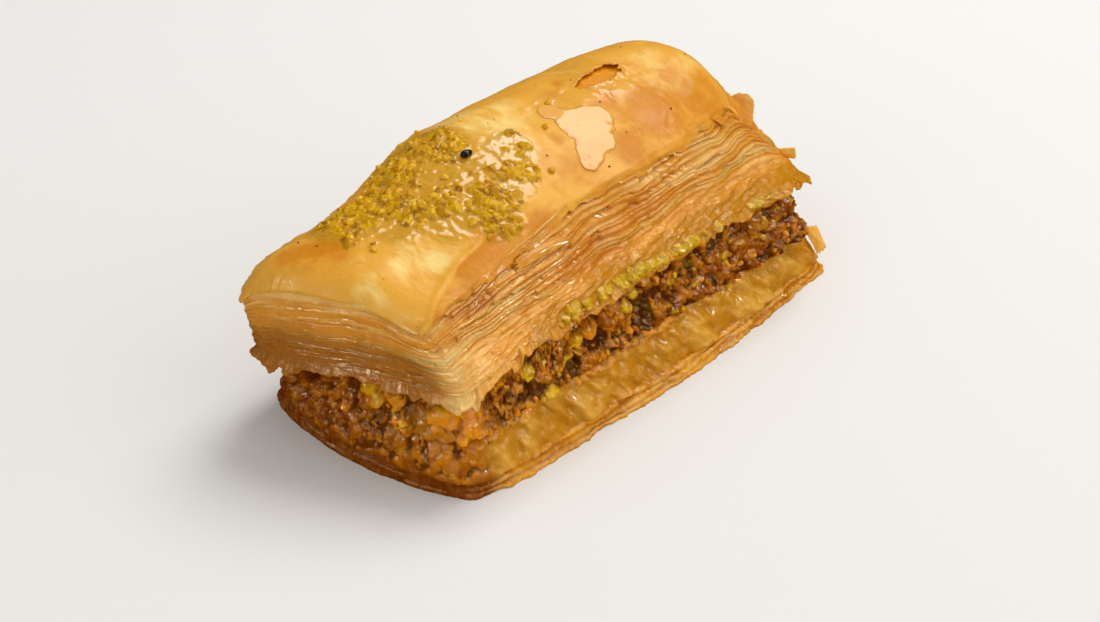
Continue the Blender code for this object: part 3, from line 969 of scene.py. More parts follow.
def leaf_looks(px, py, u, v, s, shift, base_tint):
    """The tone of a leaf along its edge, and where it is soaked, browned, pale and cracked, with painted
    shade low on the front end and painted light at its top.
    """
    near, end = smooth(1.0 - 6.0 * v), front_share(u)
    tint = base_tint + 0.42 * rough(px, py, shift, 9.0) + 0.18 * rough(px, py, shift, 2.5)
    brown = side_spots(px, v, s, NEAR_BROWNED, 0.16)
    tan = 0.15 * end * np.exp(-(((s - 0.72 + 0.1 * rough(px, py, 7.0, 8.0)) / 0.16) ** 2))
    crack = np.zeros_like(px)
    for x, lowest, strength in CRACKS:
        away = (px - x - 2.2 * (0.8 - s) - 0.5 * rough(x, 0.0, 12.0 * s, 2.0)) / CRACK_WIDTH
        crack = np.maximum(crack, strength * np.exp(-away * away) * smooth((s - lowest) / 0.08))
    foot = smooth((0.40 + 0.12 * rough(px, py, 91.0, 5.0) - s) / 0.3) * smooth((px - 8.0) / 8.0) * near
    corner = np.exp(-((px + py) / 4.5) ** 2) * smooth((0.9 - s) / 0.5)
    # Painted shade low down on the front end.
    shade = end * smooth((0.66 + 0.1 * rough(px, py, 17.0, 6.0) - s) / 0.4) * smooth(py / 5.0)
    pale = np.maximum(side_spots(px, v, s, NEAR_PALE, 0.2), corner)
    # Painted light: the top of the front end paler.
    pale = np.maximum(pale, 0.5 * end * smooth((s - 0.6 + 0.15 * rough(px, py, 27.0, 7.0)) / 0.25))
    return {"tint": np.clip(tint, 0.0, 1.0), "soaked": side_spots(px, v, s, NEAR_SOAKED),
            "brown": np.maximum(brown, tan), "crack": crack * near_share(v), "foot": foot,
            "pale": pale, "shade": shade}


def sway(px, py, level):
    """How far the whole stack sways in and out at a height."""
    return 0.42 * rough(px, py, 5.0 * level, 9.0) + 0.08 * rough(px, py, 9.0 * level, 2.8)


def wrinkles(px, py, s):
    """Fine wrinkles of soaked leaves that cling to the sides, from -1 to 1: they climb a little."""
    rise = SIDE_SLOPE_LENGTH * s
    along, across = px + py + SHEAR * rise, rise - SHEAR * (px + py)
    fine = rough(0.16 * along, across, 5.0, 0.8) + 0.6 * rough(0.3 * along, across, 25.0, 0.42)
    cross = rough(along, 0.5 * across, 65.0, 0.9)
    return 0.7 * fine + 0.25 * cross + 0.25 * rough(0.5 * along, across, 45.0, 2.2)


def leaf_rows(sizes, u, v):
    """Rings of points from the stack's foot to its top, in and out round every leaf's edge."""
    px, py = LENGTH * u, WIDTH * v
    heights = leaf_heights(sizes.count, px, py)
    draw = np.random.default_rng(23)
    end = front_share(u)
    wander, fray = sizes.wander / MM, sizes.fray / MM
    rows = []
    for leaf in range(sizes.count):
        low, high = heights[leaf], heights[leaf + 1]
        level, shift = 0.5 * (low + high), 37.0 * leaf
        base_tint, back = draw.uniform(0.1, 0.9), draw.uniform(-0.22, 0.18)
        strength = draw.uniform(0.0, 1.0)
        edge = wander * (1.2 * rough(px, py, shift, 9.0) + 0.3 * rough(px, py, shift + 3.0, 2.6))
        edge = edge + fray * (rough(px, py, shift + 5.0, 0.9) + 0.8 * rough(px, py, shift + 6.0, 0.45))
        chip = -0.4 * smooth((rough(px, py, shift + 11.0, 4.5) - 0.45) / 0.12)
        shown = mix(0.10, 1.0, smooth((level - 0.2 + 0.1 * rough(px, py, 70.0, 9.0)) / 0.35))
        shown = mix(shown, 0.5, end)
        deep = smooth(0.35 + 0.9 * rough(px, py, shift + 17.0, 10.0))
        recess = mix(0.03, sizes.gap / MM, deep**2 * strength) * shown
        lift = 0.08 * rough(px, py, shift + 5.0, 5.0)
        looks = leaf_looks(px, py, u, v, level, shift, base_tint)
        swayed = sway(px, py, level) * (1.0 - 0.4 * end)
        edge = (edge + chip + back) * shown + swayed - 0.3 * looks["crack"]
        for height_share, out_share in LEAF_PROFILE:
            s = mix(low, high, height_share)
            crimp = sizes.wrinkle / MM * wrinkles(px, py, s) * mix(1.0, 0.35, smooth((s - 0.25) / 0.3))
            out = edge - recess * (1.0 - out_share) + crimp * (1.0 - 0.5 * end)
            x, y, z = stack_point(u, v, s, out, mix(s, level, shown))
            z = z + lift * np.minimum(1.0, 4.0 * s)
            # gap: painted shade in the recess under each leaf's edge, with syrup soaked there, stronger
            # where the gap is deeper
            gap = (1.0 - out_share) * (0.4 + 0.6 * smooth(recess / 0.25)) * shown
            rows.append((x, y, z, dict(looks, gap=gap, crumb=0.0 * px)))
    return rows


def make_leaves(sizes):
    """The stack of leaves, in a lower and an upper piece that share the ring between them."""
    u, v = round_trip(*LEAF_COLUMNS)
    rows = leaf_rows(sizes, u, v)
    half = len(rows) // 2
    pieces = []
    for name, some in (("lower_leaves", rows[:half + 1]), ("upper_leaves", rows[half:])):
        middle = (some[0][2].mean(), some[-1][2].mean())
        pieces.append(new_piece(name, *closed_band(some, middle)))
    return pieces


def hem(px, py):
    """How far the outer leaf hangs down (-) or is torn away (+) at its foot, along the rim."""
    ragged = 0.75 * rough(px, py, 3.0, 5.0) + 0.50 * rough(px, py, 9.0, 1.9)
    ragged = ragged + 0.22 * rough(px, py, 15.0, 0.6)
    corner = np.exp(-(((px + py - 0.6) / 2.2) ** 2))
    drop = 0.9 * smooth((rough(px, py, 33.0, 2.6) - 0.30) / 0.25)
    return ragged + 0.5 * smooth((rough(px, py, 21.0, 3.0) - 0.38) / 0.1) - 0.5 - 0.8 * corner - drop


def hem_crumb_amount(x, y):
    """How thickly crumbs stick to the foot of the outer leaf, along the near side."""
    amount = np.zeros_like(x)
    for place, radius, strength in HEM_CRUMBS:
        amount = np.maximum(amount, strength * np.exp(-(((x - place) / radius) ** 2)))
    return amount * (y < 1.0) * np.clip(0.75 + 2.4 * rough(x, 0.0, 13.0, 1.3), 0.0, 1.0)


def make_skirt(sizes):
    """The outer leaf that clings to the lowest part of the stack and hangs over the nuts, with crumbs
    that stick to its foot."""
    u, v = round_trip(*LEAF_COLUMNS)
    px, py = LENGTH * u, WIDTH * v
    end, hang = front_share(u), hem(px, py)
    points, outer, looks = [], [], []
    swayed = sway(px, py, 0.0) * (1.0 - 0.4 * end)
    for t in np.linspace(0.0, 1.0, SKIRT_ROWS):
        s = t * SKIRT_TOP * np.ones_like(px)
        crimp = sizes.wrinkle / MM * wrinkles(px, py, s + 0.08 * hang * (1.0 - t) ** 2)
        bulge = 0.25 * rough(px, py, 2.0 * t + 60.0, 5.0) * (1.0 - t)
        out = mix(0.30, -0.75, t) + (crimp + bulge + swayed) * (1.0 - 0.3 * end)
        out = out + 0.35 * (1.0 - t) ** 3 * (1.0 + rough(px, py, 55.0, 3.0))
        for line, beyond in ((points, out), (outer, out + 0.5)):
            x, y, z = stack_point(u, v, s, beyond)
            line.append(np.stack([x, y, z + hang * (1.0 - t) ** 2], axis=-1))
        looks.append(leaf_looks(px, py, u, v, s, 800.0, 0.6))
    points, outer = np.concatenate(points), np.concatenate(outer)
    outward = (outer - points) / np.linalg.norm(outer - points, axis=1)[:, None]
    bits = PackedBits(47, lambda u, v, s, out: stack_point(u, v, s, out + 0.45), -0.03, 0.20, melt=0.07)
    bits.strew(2400, 0.30, 0.75, 0.30, ONE_KIND)
    bits.strew(5000, 0.18, 0.34, 0.20, ONE_KIND)
    bits.sift(hem_crumb_amount)
    height, share, _ = bits.relief(points, outward, 0.0)
    shares = joined(looks)
    shares.update(gap=0.0 * height, crumb=smooth((height - 0.1) / 0.2) * share[NUT])
    faces = grid_faces(len(u), SKIRT_ROWS, wrap=True)
    sheet = new_piece("skirt_open", placed(*(points + outward * height[:, None]).T), faces, shares)
    return thickened(sheet, SKIRT_WALL, "outer_leaf")


# ---------- Scraps of leaf ----------
SCRAPS = (  # four corners (x, y, z), how far it bends out, how much its edges are torn, its paleness
    (((15.4, 5.2, 22.0), (24.2, 4.6, 22.7), (23.4, 5.7, 23.7), (16.0, 6.2, 23.0)), 0.20, 0.35, -0.7),
    (((57.4, 9.7, 25.2), (58.6, 8.6, 24.0), (59.9, 8.9, 24.2), (59.0, 9.8, 25.2)), 0.1, 0.1, -1.0),
    (((67.0, 7.0, 16.4), (68.6, 4.0, 16.6), (68.8, 4.2, 18.1), (67.0, 7.0, 17.8)), 0.3, 0.3, 0.2),
    (((68.6, -0.2, 3.2), (70.3, -0.4, 3.6), (70.5, 1.6, 6.4), (68.6, 2.2, 6.2)), 0.3, 0.25, -0.1),
)
CURL_CORNERS = (  # of the leaf that stands off the far end, its foot first
    (66.6, 16.6, 13.6), (66.6, 11.4, 13.2), (69.8, 11.4, 23.4), (69.4, 16.2, 23.0),
)
CURL_GRID = (60, 80)
SCRAP_WALL, CURL_WALL = 0.14, 0.18
CURL_HOLES = ((0.42, 0.72, 0.10, 0.07), (0.68, 0.62, 0.09, 0.06))  # across, up, half width, half height


def leaf_scrap(corners, bend, torn, seed, columns=28, rows=14):
    """Points of a scrap of leaf between four corners, bent outwards in its middle, with torn edges. Also
    its faces, and how far across and up each point lies."""
    a, b = (grid.ravel() for grid in np.meshgrid(np.linspace(0, 1, columns), np.linspace(0, 1, rows)))
    first, second, third, fourth = (np.array(corner) for corner in corners)
    a, b = a[:, None], b[:, None]
    points = mix(mix(first, second, a), mix(fourth, third, a), b)
    outward = np.cross(second - first, fourth - first)
    outward = outward / np.linalg.norm(outward)
    ragged = torn * (rough(6.0 * a, 6.0 * b, seed, 1.0) + 0.6 * rough(16.0 * a, 16.0 * b, seed, 1.0))
    rim = np.maximum(np.abs(2.0 * a - 1.0), np.abs(2.0 * b - 1.0)) ** 4
    points = points + (points - points.mean(axis=0)) * ragged * rim * 0.6
    wave = bend * (bow(a) * bow(b) + 0.3 * rough(3.0 * a, 3.0 * b, seed + 5.0, 1.0))
    return points + outward * wave, grid_faces(columns, rows), a[:, 0], b[:, 0]


def scrap_looks(count, pale):
    """The same looks at every point of a scrap, which is pale, or browned where pale is below 0."""
    looks = {"pale": max(pale, 0.0), "brown": max(-pale, 0.0), "wet": 0.3, "torn": 0.0, "crumb": 0.0}
    return {label: np.full(count, value) for label, value in looks.items()}


def make_scraps():
    """Small scraps of leaf that stand off the sides."""
    points, faces, looks, start = [], [], [], 0
    for seed, (corners, bend, torn, pale) in enumerate(SCRAPS):
        some, some_faces, _, _ = leaf_scrap(corners, bend, torn, 10.0 * seed)
        points.append(placed(*some.T))
        faces.append(some_faces + start)
        looks.append(scrap_looks(len(some), pale))
        start += len(some)
    sheet = new_piece("scraps_open", np.concatenate(points), np.concatenate(faces), joined(looks))
    return thickened(sheet, SCRAP_WALL, "leaf_scraps")


def make_curl():
    """The leaf that stands off the far end, curled outwards, with two small holes."""
    some, faces, a, b = leaf_scrap(CURL_CORNERS, 0.9, 0.05, 77.0, *CURL_GRID)
    kept = np.abs(2.0 * a - 1.0) ** 3 + np.maximum(0.0, 2.0 * b - 1.0) ** 3 < 1.0
    for across, up, half_width, half_height in CURL_HOLES:
        kept &= ((a - across) / half_width) ** 2 + ((b - up) / half_height) ** 2 > 1.0
    parts = cut_out(placed(*some.T), faces, kept, scrap_looks(len(some), 0.5))
    return thickened(new_piece("curl_open", *parts), CURL_WALL, "curled_leaf")


# ---------- The filling ----------
BAND_COLUMNS = (560, 130, 260, 300)  # near, far, back, front
BAND_ROWS = 58
KIND_SHARES = (0.62, 0.30, 0.04, 0.03, 0.01)  # nut, dark nut, kernel, husk, seed
FINE_SHARES = (0.58, 0.32, 0.07, 0.03, 0.0)
CLUMP_REACH = 5.5  # how far the lump of nuts at the near corner goes along both sides
CLUMP_SHARES = (0.45, 0.05, 0.06, 0.44)
CARRIER_ROWS = 20  # of the side that loose nuts are strewn on
NAMED_BITS = (  # x, y, z, radius, kind
    (11.8, 0.9, 13.0, 0.9, KERNEL), (11.9, 0.5, 11.2, 1.05, KERNEL), (19.3, 0.9, 9.4, 0.8, KERNEL),
    (13.2, -0.3, 6.7, 0.7, KERNEL), (15.0, -0.5, 6.8, 1.1, KERNEL), (30.5, 1.5, 11.7, 0.9, KERNEL),
    (32.2, 1.5, 12.6, 0.6, KERNEL), (57.6, 1.7, 12.2, 1.0, KERNEL), (50.0, 1.6, 10.4, 0.7, KERNEL),
    (23.4, 1.2, 11.9, 1.3, NUT), (26.4, 1.3, 11.6, 1.5, DARK_NUT), (21.0, 1.0, 11.4, 1.0, KERNEL),
    (12.8, 0.2, 9.1, 0.55, HUSK), (13.7, 0.15, 9.6, 0.55, HUSK), (14.7, 0.2, 10.1, 0.55, HUSK),
    (15.8, 0.3, 10.6, 0.55, HUSK), (16.8, 0.3, 11.0, 0.6, HUSK), (10.2, 0.6, 12.4, 1.0, HUSK),
    (8.4, -0.2, 9.4, 0.8, SEED), (46.6, 0.8, 8.6, 0.6, SEED), (-2.4, 13.4, 11.2, 1.2, KERNEL),
    (-2.9, 11.8, 10.1, 1.0, KERNEL), (-3.2, 12.4, 7.9, 0.8, SEED), (-3.2, 11.0, 7.6, 0.6, SEED),
    (-1.6, 30.6, 6.2, 1.1, KERNEL), (-3.3, 19.8, 6.5, 0.6, KERNEL), (-4.1, 18.8, 3.4, 0.6, HUSK),
    (-4.2, 17.6, 2.8, 0.6, HUSK), (-4.2, 16.2, 2.4, 0.5, KERNEL),
)


def filled(seed, side, low, per_area):
    """Larger bits packed into a side of the block, from a share of its height up."""
    bits = PackedBits(seed, side, low, melt=0.10)
    bits.strew(int(200 * per_area), 0.70, 1.15, 0.50, KIND_SHARES)
    bits.strew(int(1200 * per_area), 0.42, 0.72, 0.45, KIND_SHARES)
    bits.strew(int(2400 * per_area), 0.26, 0.42, 0.22, FINE_SHARES)
    for x, y, z, radius, kind in NAMED_BITS:
        bits.place(x, y, z, radius, kind)
    bits.heap(int(90 * per_area), 0.40, 0.85, -0.05, CLUMP_SHARES, CLUMP_REACH)
    return bits


def nut_relief(seed, side, low, points, outward, end, per_area=1.0):
    """Height, shares and shades of the larger bits with fine grains strewn over them."""
    height, share, shades = filled(seed, side, low, per_area).relief(points, outward, -0.25)
    grains = PackedBits(seed + 50, side, low, melt=0.07)
    grains.strew(int(9000 * per_area), 0.15, 0.34, 0.25, FINE_SHARES)
    fine, fine_share, fine_shades = grains.relief(points, outward, 0.0)
    cover = 0.65 * smooth(fine / 0.12) * (1.0 - 0.4 * end)
    share = {kind: mix(share[kind], fine_share[kind], cover) for kind in KINDS}
    height = height + fine * mix(0.50, 0.35, end) - 0.08
    return height, share, mix(shades, fine_shades, cover)


def bit_looks(share, shades, height):
    """Named values for the bits' colours, at each point."""
    looks = {name: share[kind] for name, kind in (("kernel", KERNEL), ("husk", HUSK), ("seed", SEED))}
    shades = shades * (1.0 - 0.65 * share[DARK_NUT])
    # deep darkens the hollows with the syrup colour: syrup gathered there, with painted shade
    return dict(looks, tint=shades, deep=smooth((0.18 - height) / 0.42))


def make_filling():
    """The nuts in syrup, as one closed piece: lighter at the near corner, partly as painted light, darker
    towards the far end, and with syrup and painted shade on the front end.
    """
    u, v = round_trip(*BAND_COLUMNS)
    points, outward = side_grid(nuts_point, u, v, np.linspace(0.0, 1.0, BAND_ROWS))
    end = np.tile(front_share(u), BAND_ROWS)
    height, share, shades = nut_relief(3, nuts_point, 0.0, points, outward, end)
    hollow = -smooth((rough(*points.T, 3.4) - 0.12) / 0.35) + 0.4 * rough(*points.T, 6.0)
    height = height + 0.7 * hollow
    points = points + outward * height[:, None]
    looks = bit_looks(share, shades, height + 0.5 * hollow)
    x, y, _ = points.T
    # Lighter nuts at the near corner, with fewer dark hollows and a lighter front end there: partly painted
    # light.
    corner = np.exp(-(((x + y - 2.0) / 4.5) ** 2))
    # Painted shade with syrup: the front end darker, more so towards the back.
    looks["end"] = end * (1.0 - corner) * (0.4 + 0.6 * smooth((y - 6.0) / 16.0))
    looks["tint"] = mix(looks["tint"], 0.95, 0.6 * corner) * (1.0 - 0.45 * smooth((x - 32.0) / 20.0))
    looks["tint"] = looks["tint"] + end * (0.25 - 0.45 * smooth((y - 10.0) / 16.0))
    looks["deep"] = looks["deep"] * (1.0 - 0.6 * corner)
    middle = (BASE_HEIGHT, SEAM_HEIGHT - 0.4)
    return new_piece("filling_core", *closed_band(rings(points, looks, len(u)), middle))


def nut_carrier(name):
    """The filling's side, for the loose bits that stand out of it."""
    u, v = round_trip(280, 60, 130, 150)
    points, _ = side_grid(nuts_point, u, v, np.linspace(0.05, 1.0, CARRIER_ROWS))
    x, y, z = points.T
    amount = np.clip(0.35 + 0.9 * rough(x, y, z, 4.0), 0.0, 1.0)
    amount = amount * (1.0 - 0.5 * np.tile(front_share(u), CARRIER_ROWS))
    faces = grid_faces(len(u), CARRIER_ROWS, wrap=True)
    return new_piece(name, placed(x, y, z), faces, {"amount": amount})


# ---------- The base ----------
CRUST_LEAVES = 3
CRUST_TOP = 0.26  # share of the base's height that is crust
CRUST_PROFILE = ((0.0, 0.0), (0.2, 0.85), (0.5, 1.0), (0.8, 0.85))
SOFT_ROWS = 36


def crust_rows(u, v):
    """The crisp leaves that the piece stands on: thin, ragged and uneven."""
    px, py = LENGTH * u, WIDTH * v
    end = front_share(u)
    heights = np.linspace(0.0, CRUST_TOP, CRUST_LEAVES + 1)
    rows = []
    for leaf in range(CRUST_LEAVES):
        low, high, shift = heights[leaf], heights[leaf + 1], 51.0 * leaf + 7.0
        edge = 0.50 * rough(px, py, shift, 6.0) + 0.24 * rough(px, py, shift + 3.0, 1.6)
        edge = edge + 0.12 * rough(px, py, shift + 5.0, 0.6) - 0.30 * leaf + 0.40
        lift = 0.45 * rough(px, py, shift + 9.0, 7.0) * min(1.0, leaf)
        recess = mix(0.02, 0.5, smooth(0.3 + rough(px, py, shift + 17.0, 6.0)) ** 2) * (1.0 - 0.8 * end)
        for pitch_share, out_share in CRUST_PROFILE:
            s = mix(low, high, pitch_share)
            out = (edge - recess * (1.0 - out_share)) * (1.0 - 0.6 * end) - 0.3
            x, y, z = base_point(u, v, np.full_like(u, s), out)
            tint = smooth(0.5 + rough(px, py, shift, 5.0))
            rows.append((x, y, z + lift, crust_looks(out_share, tint, end)))
    return rows


def crust_looks(open_share, tint, end):
    """Named values for a ring of crust: all those that the soft part has, with no bits in it."""
    # On the crust, fold is how far out a point lies on its leaf: the colour darkens in the recesses, partly
    # as painted shade, and lightens at the edges, partly as painted light.
    looks = {"crust": 1.0 - end, "fold": open_share, "tint": tint, "end": end, "kernel": 0.0, "husk": 0.0,
             "seed": 0.0, "deep": 0.0, "bits": 0.0}
    return {label: value + 0.0 * end for label, value in looks.items()}


def soft_rows(sizes, u, v):
    """The soaked leaves: soft folds on the sides, and nuts pressed into them at the front end."""
    heights = np.linspace(CRUST_TOP, 1.0, SOFT_ROWS)
    points, outward = side_grid(base_point, u, v, heights)
    end = np.tile(front_share(u), SOFT_ROWS)
    s = np.repeat(heights, len(u))
    x, y, z = points.T
    stray = 0.12 * rough(x, y, 5.0, 4.0)
    nutty = np.maximum(end * smooth((s - 0.10 + stray) / 0.3), smooth((s - 0.78 + stray) / 0.2))
    fold = rough(x + 0.5 * z, y, 0.6 * z, 4.4) + 0.7 * rough(x + 0.7 * z, y, 0.7 * z + 40.0, 2.0)
    fold = fold + 0.35 * rough(x + 0.5 * z, y, 0.8 * z + 70.0, 1.0)
    height, share, shades = nut_relief(4, base_point, 0.1, points, outward, end, 0.8)
    clump = smooth(1.0 - np.hypot(x - 2.5, y + 0.2) / CLUMP_REACH) * smooth((z - 4.6) / 1.4)
    nutty = np.maximum(nutty, clump)
    soft = sizes.fold / MM * fold * (1.0 - 0.5 * end) - 0.45
    height = height * (1.0 - 0.5 * end * smooth((0.75 - s) / 0.4))
    height = height * (1.0 - 0.8 * smooth((s - 0.8) / 0.2))
    out = mix(soft, height - 0.15, nutty)
    points = points + outward * out[:, None]
    looks = bit_looks(share, shades, height)
    looks = {label: values * nutty for label, values in looks.items()}
    crust = smooth((CRUST_TOP + 0.06 - s) / 0.06) * (1.0 - end)
    # fold carries the folds' height into the colour: lighter crests are painted light.
    looks.update(crust=crust, fold=0.5 + 0.5 * fold, end=end, bits=nutty)
    # The nuts are lighter off the front end, and the front end darker towards the back: syrup there, with
    # painted shade.
    looks["tint"] = mix(0.5 + 0.5 * rough(x, y, z, 6.0), looks["tint"] + 0.35 * (1.0 - end), nutty)
    far = smooth((y - 4.0) / 16.0)
    looks["end"] = end * mix(0.55, 1.0, far)
    looks["tint"] = looks["tint"] + end * mix(0.25, -0.15, far)
    return points, looks


def make_base(sizes):
    """The soaked base on its crust, as one closed piece."""
    u, v = round_trip(*BAND_COLUMNS)
    rows = crust_rows(u, v) + rings(*soft_rows(sizes, u, v), len(u))
    return new_piece("soaked_base", *closed_band(rows, (0.0, BASE_HEIGHT)))


# ---------- Scattered bits ----------
SCATTER_SIZES = (  # name, kind of socket, default
    ("Spacing", "NodeSocketFloat", 0.001), ("Per area", "NodeSocketFloat", 1e6),
    ("Smallest", "NodeSocketFloat", 0.0005), ("Largest", "NodeSocketFloat", 0.001),
    ("Flatness", "NodeSocketFloat", 0.7), ("Sink", "NodeSocketFloat", 0.3),
    ("Lumps", "NodeSocketFloat", 0.0002), ("Lump width", "NodeSocketFloat", 0.001),
    ("Detail", "NodeSocketInt", 2), ("Seed", "NodeSocketInt", 1),
)
SLIMMEST, STOUTEST = 0.75, 1.2  # how long a bit may be along each of its axes, as shares of its size
FULL_TURN = 6.283


class ScatterTree:
    """Geometry nodes that strew bits over a surface, every bit with its own size, turn and shape."""

    def __init__(self, name, material):
        self.tree = bpy.data.node_groups.new(name, "GeometryNodeTree")
        face = self.tree.interface
        face.new_socket("Surface", in_out="INPUT", socket_type="NodeSocketGeometry")
        self.sockets = {}
        for label, kind, default in SCATTER_SIZES:
            socket = face.new_socket(label, in_out="INPUT", socket_type=kind)
            socket.default_value = default
            self.sockets[label] = socket.identifier
        face.new_socket("Bits", in_out="OUTPUT", socket_type="NodeSocketGeometry")
        self.given = self.node("NodeGroupInput").outputs
        self.build(material)

    def node(self, kind, settings=(), **values):
        """Adds a node: its settings first, then its sockets' values or links by name."""
        node = self.tree.nodes.new(kind)
        for label, value in dict(settings).items():
            setattr(node, label, value)
        for label, value in values.items():
            named = [s for s in node.inputs if s.enabled and s.name == label.replace("_", " ")]
            feed(self.tree, named[0], value)
        return node

    def maths(self, kind, operation, *values):
        """The result of a Math node that works on values."""
        node = self.node(kind, {"operation": operation})
        for value, socket in zip(values, node.inputs):
            feed(self.tree, socket, value)
        return node.outputs[0]

    def random(self, low, high, seed_step, kind="FLOAT"):
        """A number, or three, drawn for every bit. Each seed_step gives its own draw."""
        seed = self.maths("FunctionNodeIntegerMath", "ADD", self.given["Seed"], seed_step)
        node = self.node("FunctionNodeRandomValue", {"data_type": kind}, Min=low, Max=high, Seed=seed)
        return next(s for s in node.outputs if s.enabled)

    def scaled(self, vector, factor):
        """A vector times a number."""
        node = self.node("ShaderNodeVectorMath", {"operation": "SCALE"}, Scale=factor)
        self.tree.links.new(vector, node.inputs[0])
        return node.outputs[0]

    def moved(self, geometry, way, distance):
        """The geometry moved so far along a way of its own at each point."""
        offset = self.scaled(way, distance)
        return self.node("GeometryNodeSetPosition", Geometry=geometry, Offset=offset).outputs[0]

    def stored(self, geometry, name, value, kind="FLOAT", domain="POINT"):
        """The geometry with a value kept on it under a name."""
        return self.node("GeometryNodeStoreNamedAttribute", {"data_type": kind, "domain": domain},
                         Geometry=geometry, Name=name, Value=value).outputs[0]

    def recalled(self, name, kind="FLOAT"):
        """A value that is kept on the geometry."""
        return self.node("GeometryNodeInputNamedAttribute", {"data_type": kind}, Name=name).outputs[0]

    def build(self, material):
        """Points on the surface, a ball on each with its own size, turn and shape, then lumps in them."""
        given = self.given
        points = self.node("GeometryNodeDistributePointsOnFaces", {"distribute_method": "POISSON"},
                           Mesh=given["Surface"], Distance_Min=given["Spacing"],
                           Density_Max=given["Per area"], Seed=given["Seed"],
                           Density_Factor=self.recalled("amount"))
        size = self.random(given["Smallest"], given["Largest"], 1)
        middles = self.stored(points.outputs["Points"], "size", size)
        middles = self.stored(middles, "outward", points.outputs["Normal"], "FLOAT_VECTOR")
        size = self.recalled("size")
        sunk = self.maths("ShaderNodeMath", "MULTIPLY", size, given["Sink"])
        sunk = self.maths("ShaderNodeMath", "MULTIPLY", sunk, -1.0)
        middles = self.moved(middles, self.recalled("outward", "FLOAT_VECTOR"), sunk)
        ball = self.node("GeometryNodeMeshIcoSphere", Radius=0.5, Subdivisions=given["Detail"])
        shape = self.random((SLIMMEST,) * 3, (STOUTEST,) * 3, 2, "FLOAT_VECTOR")
        flat = self.node("ShaderNodeCombineXYZ", X=1.0, Y=1.0, Z=given["Flatness"]).outputs[0]
        squeezed = self.maths("ShaderNodeVectorMath", "MULTIPLY", shape, flat)
        turn = self.random((0.0,) * 3, (FULL_TURN,) * 3, 3, "FLOAT_VECTOR")
        bits = self.node("GeometryNodeInstanceOnPoints", Points=middles, Instance=ball.outputs["Mesh"],
                         Rotation=turn, Scale=self.scaled(squeezed, size)).outputs[0]
        tinted = self.stored(bits, "tint", self.random(0.0, 1.0, 4), domain="INSTANCE")
        real = self.node("GeometryNodeRealizeInstances", Geometry=tinted).outputs[0]
        fineness = self.maths("ShaderNodeMath", "DIVIDE", 1.0, given["Lump width"])
        place = self.node("GeometryNodeInputPosition").outputs[0]
        noise = self.node("ShaderNodeTexNoise", Vector=place, Scale=fineness, Detail=1.0)
        lumps = self.maths("ShaderNodeVectorMath", "SUBTRACT", noise.outputs["Color"], (0.5,) * 3)
        real = self.moved(real, lumps, given["Lumps"])
        smoothed = self.node("GeometryNodeSetShadeSmooth", Geometry=real).outputs[0]
        worn = self.node("GeometryNodeSetMaterial", Geometry=smoothed, Material=material).outputs[0]
        self.tree.links.new(worn, self.node("NodeGroupOutput").inputs[0])


def strewn(name, carrier, material, **sizes):
    """Bits strewn over the carrier, as plain mesh. The carrier is used up."""
    scatter = ScatterTree(name, material)
    modifier = carrier.modifiers.new("Strew", "NODES")
    modifier.node_group = scatter.tree
    for label, value in sizes.items():
        modifier[scatter.sockets[label.replace("_", " ")]] = value
    bits = baked(carrier, name)
    for label in ("size", "outward"):
        if label in bits.data.attributes:
            bits.data.attributes.remove(bits.data.attributes[label])
    return bits


# ---------- What lies on the skin ----------
PUDDLE_GRID = (150, 170, (0.50, 0.02), (0.74, 0.62))  # columns, rows, and where it starts and ends
CRUMB_GRID = (150, 100, (0.02, 0.0), (0.72, 1.0))
SPECK_GRID = (100, 60, (0.02, 0.02), (0.98, 0.98))
PUDDLE = (  # x, y, radius
    (37.2, 20.0, 1.6), (38.5, 16.3, 2.9), (41.4, 15.6, 2.6), (38.9, 13.2, 2.4), (36.2, 12.0, 1.9),
    (34.6, 10.8, 1.2),
)
PUDDLE_WALL = 0.3
PUDDLE_RIM = 0.14  # how far in from its rim the puddle reaches its full depth, as blobs count it
BLACK_SEED = (26.7 / 70.7, 12.1 / 25.0)  # shares of the skin's length and width
BLACK_SEED_HALF = (0.95, 0.6, 0.5)  # long, wide, tall
BLACK_SEED_LIFT = 0.45  # of its middle over the skin


def skin_carrier(name, skin, grid, lift, amount):
    """The part of the skin that bits are strewn on, raised by lift, with their amount(x, y). grid gives
    its columns and rows, and where it starts and ends."""
    u, v = skin_grid(*grid)
    x, y, z = skin_surface(u, v, skin, lift)
    return new_piece(name, placed(x, y, z), grid_faces(*grid[:2]), {"amount": amount(x, y)})


def speck_amount(x, y):
    """How thickly the specks lie: mostly in the syrup."""
    return 0.12 + 0.88 * smooth(2.0 * blobs(x, y, SYRUP_FILM))


def make_puddle(sizes, skin):
    """A puddle of syrup with a round, uneven rim."""
    u, v = skin_grid(*PUDDLE_GRID)
    x, y, z = skin_surface(u, v, skin)
    inside = blobs(x, y, PUDDLE) + 0.10 * rough(x, y, 43.0, 2.0) + 0.06 * rough(x, y, 47.0, 0.7)
    z = z - skin.crease / MM * creases(x, y)
    full = np.clip(inside / PUDDLE_RIM, 0.0, 1.0)
    depth = sizes.puddle / MM * np.sqrt(full) + 0.02 * rough(x, y, 53.0, 1.8)
    faces = grid_faces(*PUDDLE_GRID[:2])
    # depth also lightens the puddle's colour, as painted reflection
    parts = cut_out(placed(x, y, z + depth), faces, inside > -0.01, {"depth": full})
    return thickened(new_piece("puddle_open", *parts), PUDDLE_WALL, "syrup_puddle")


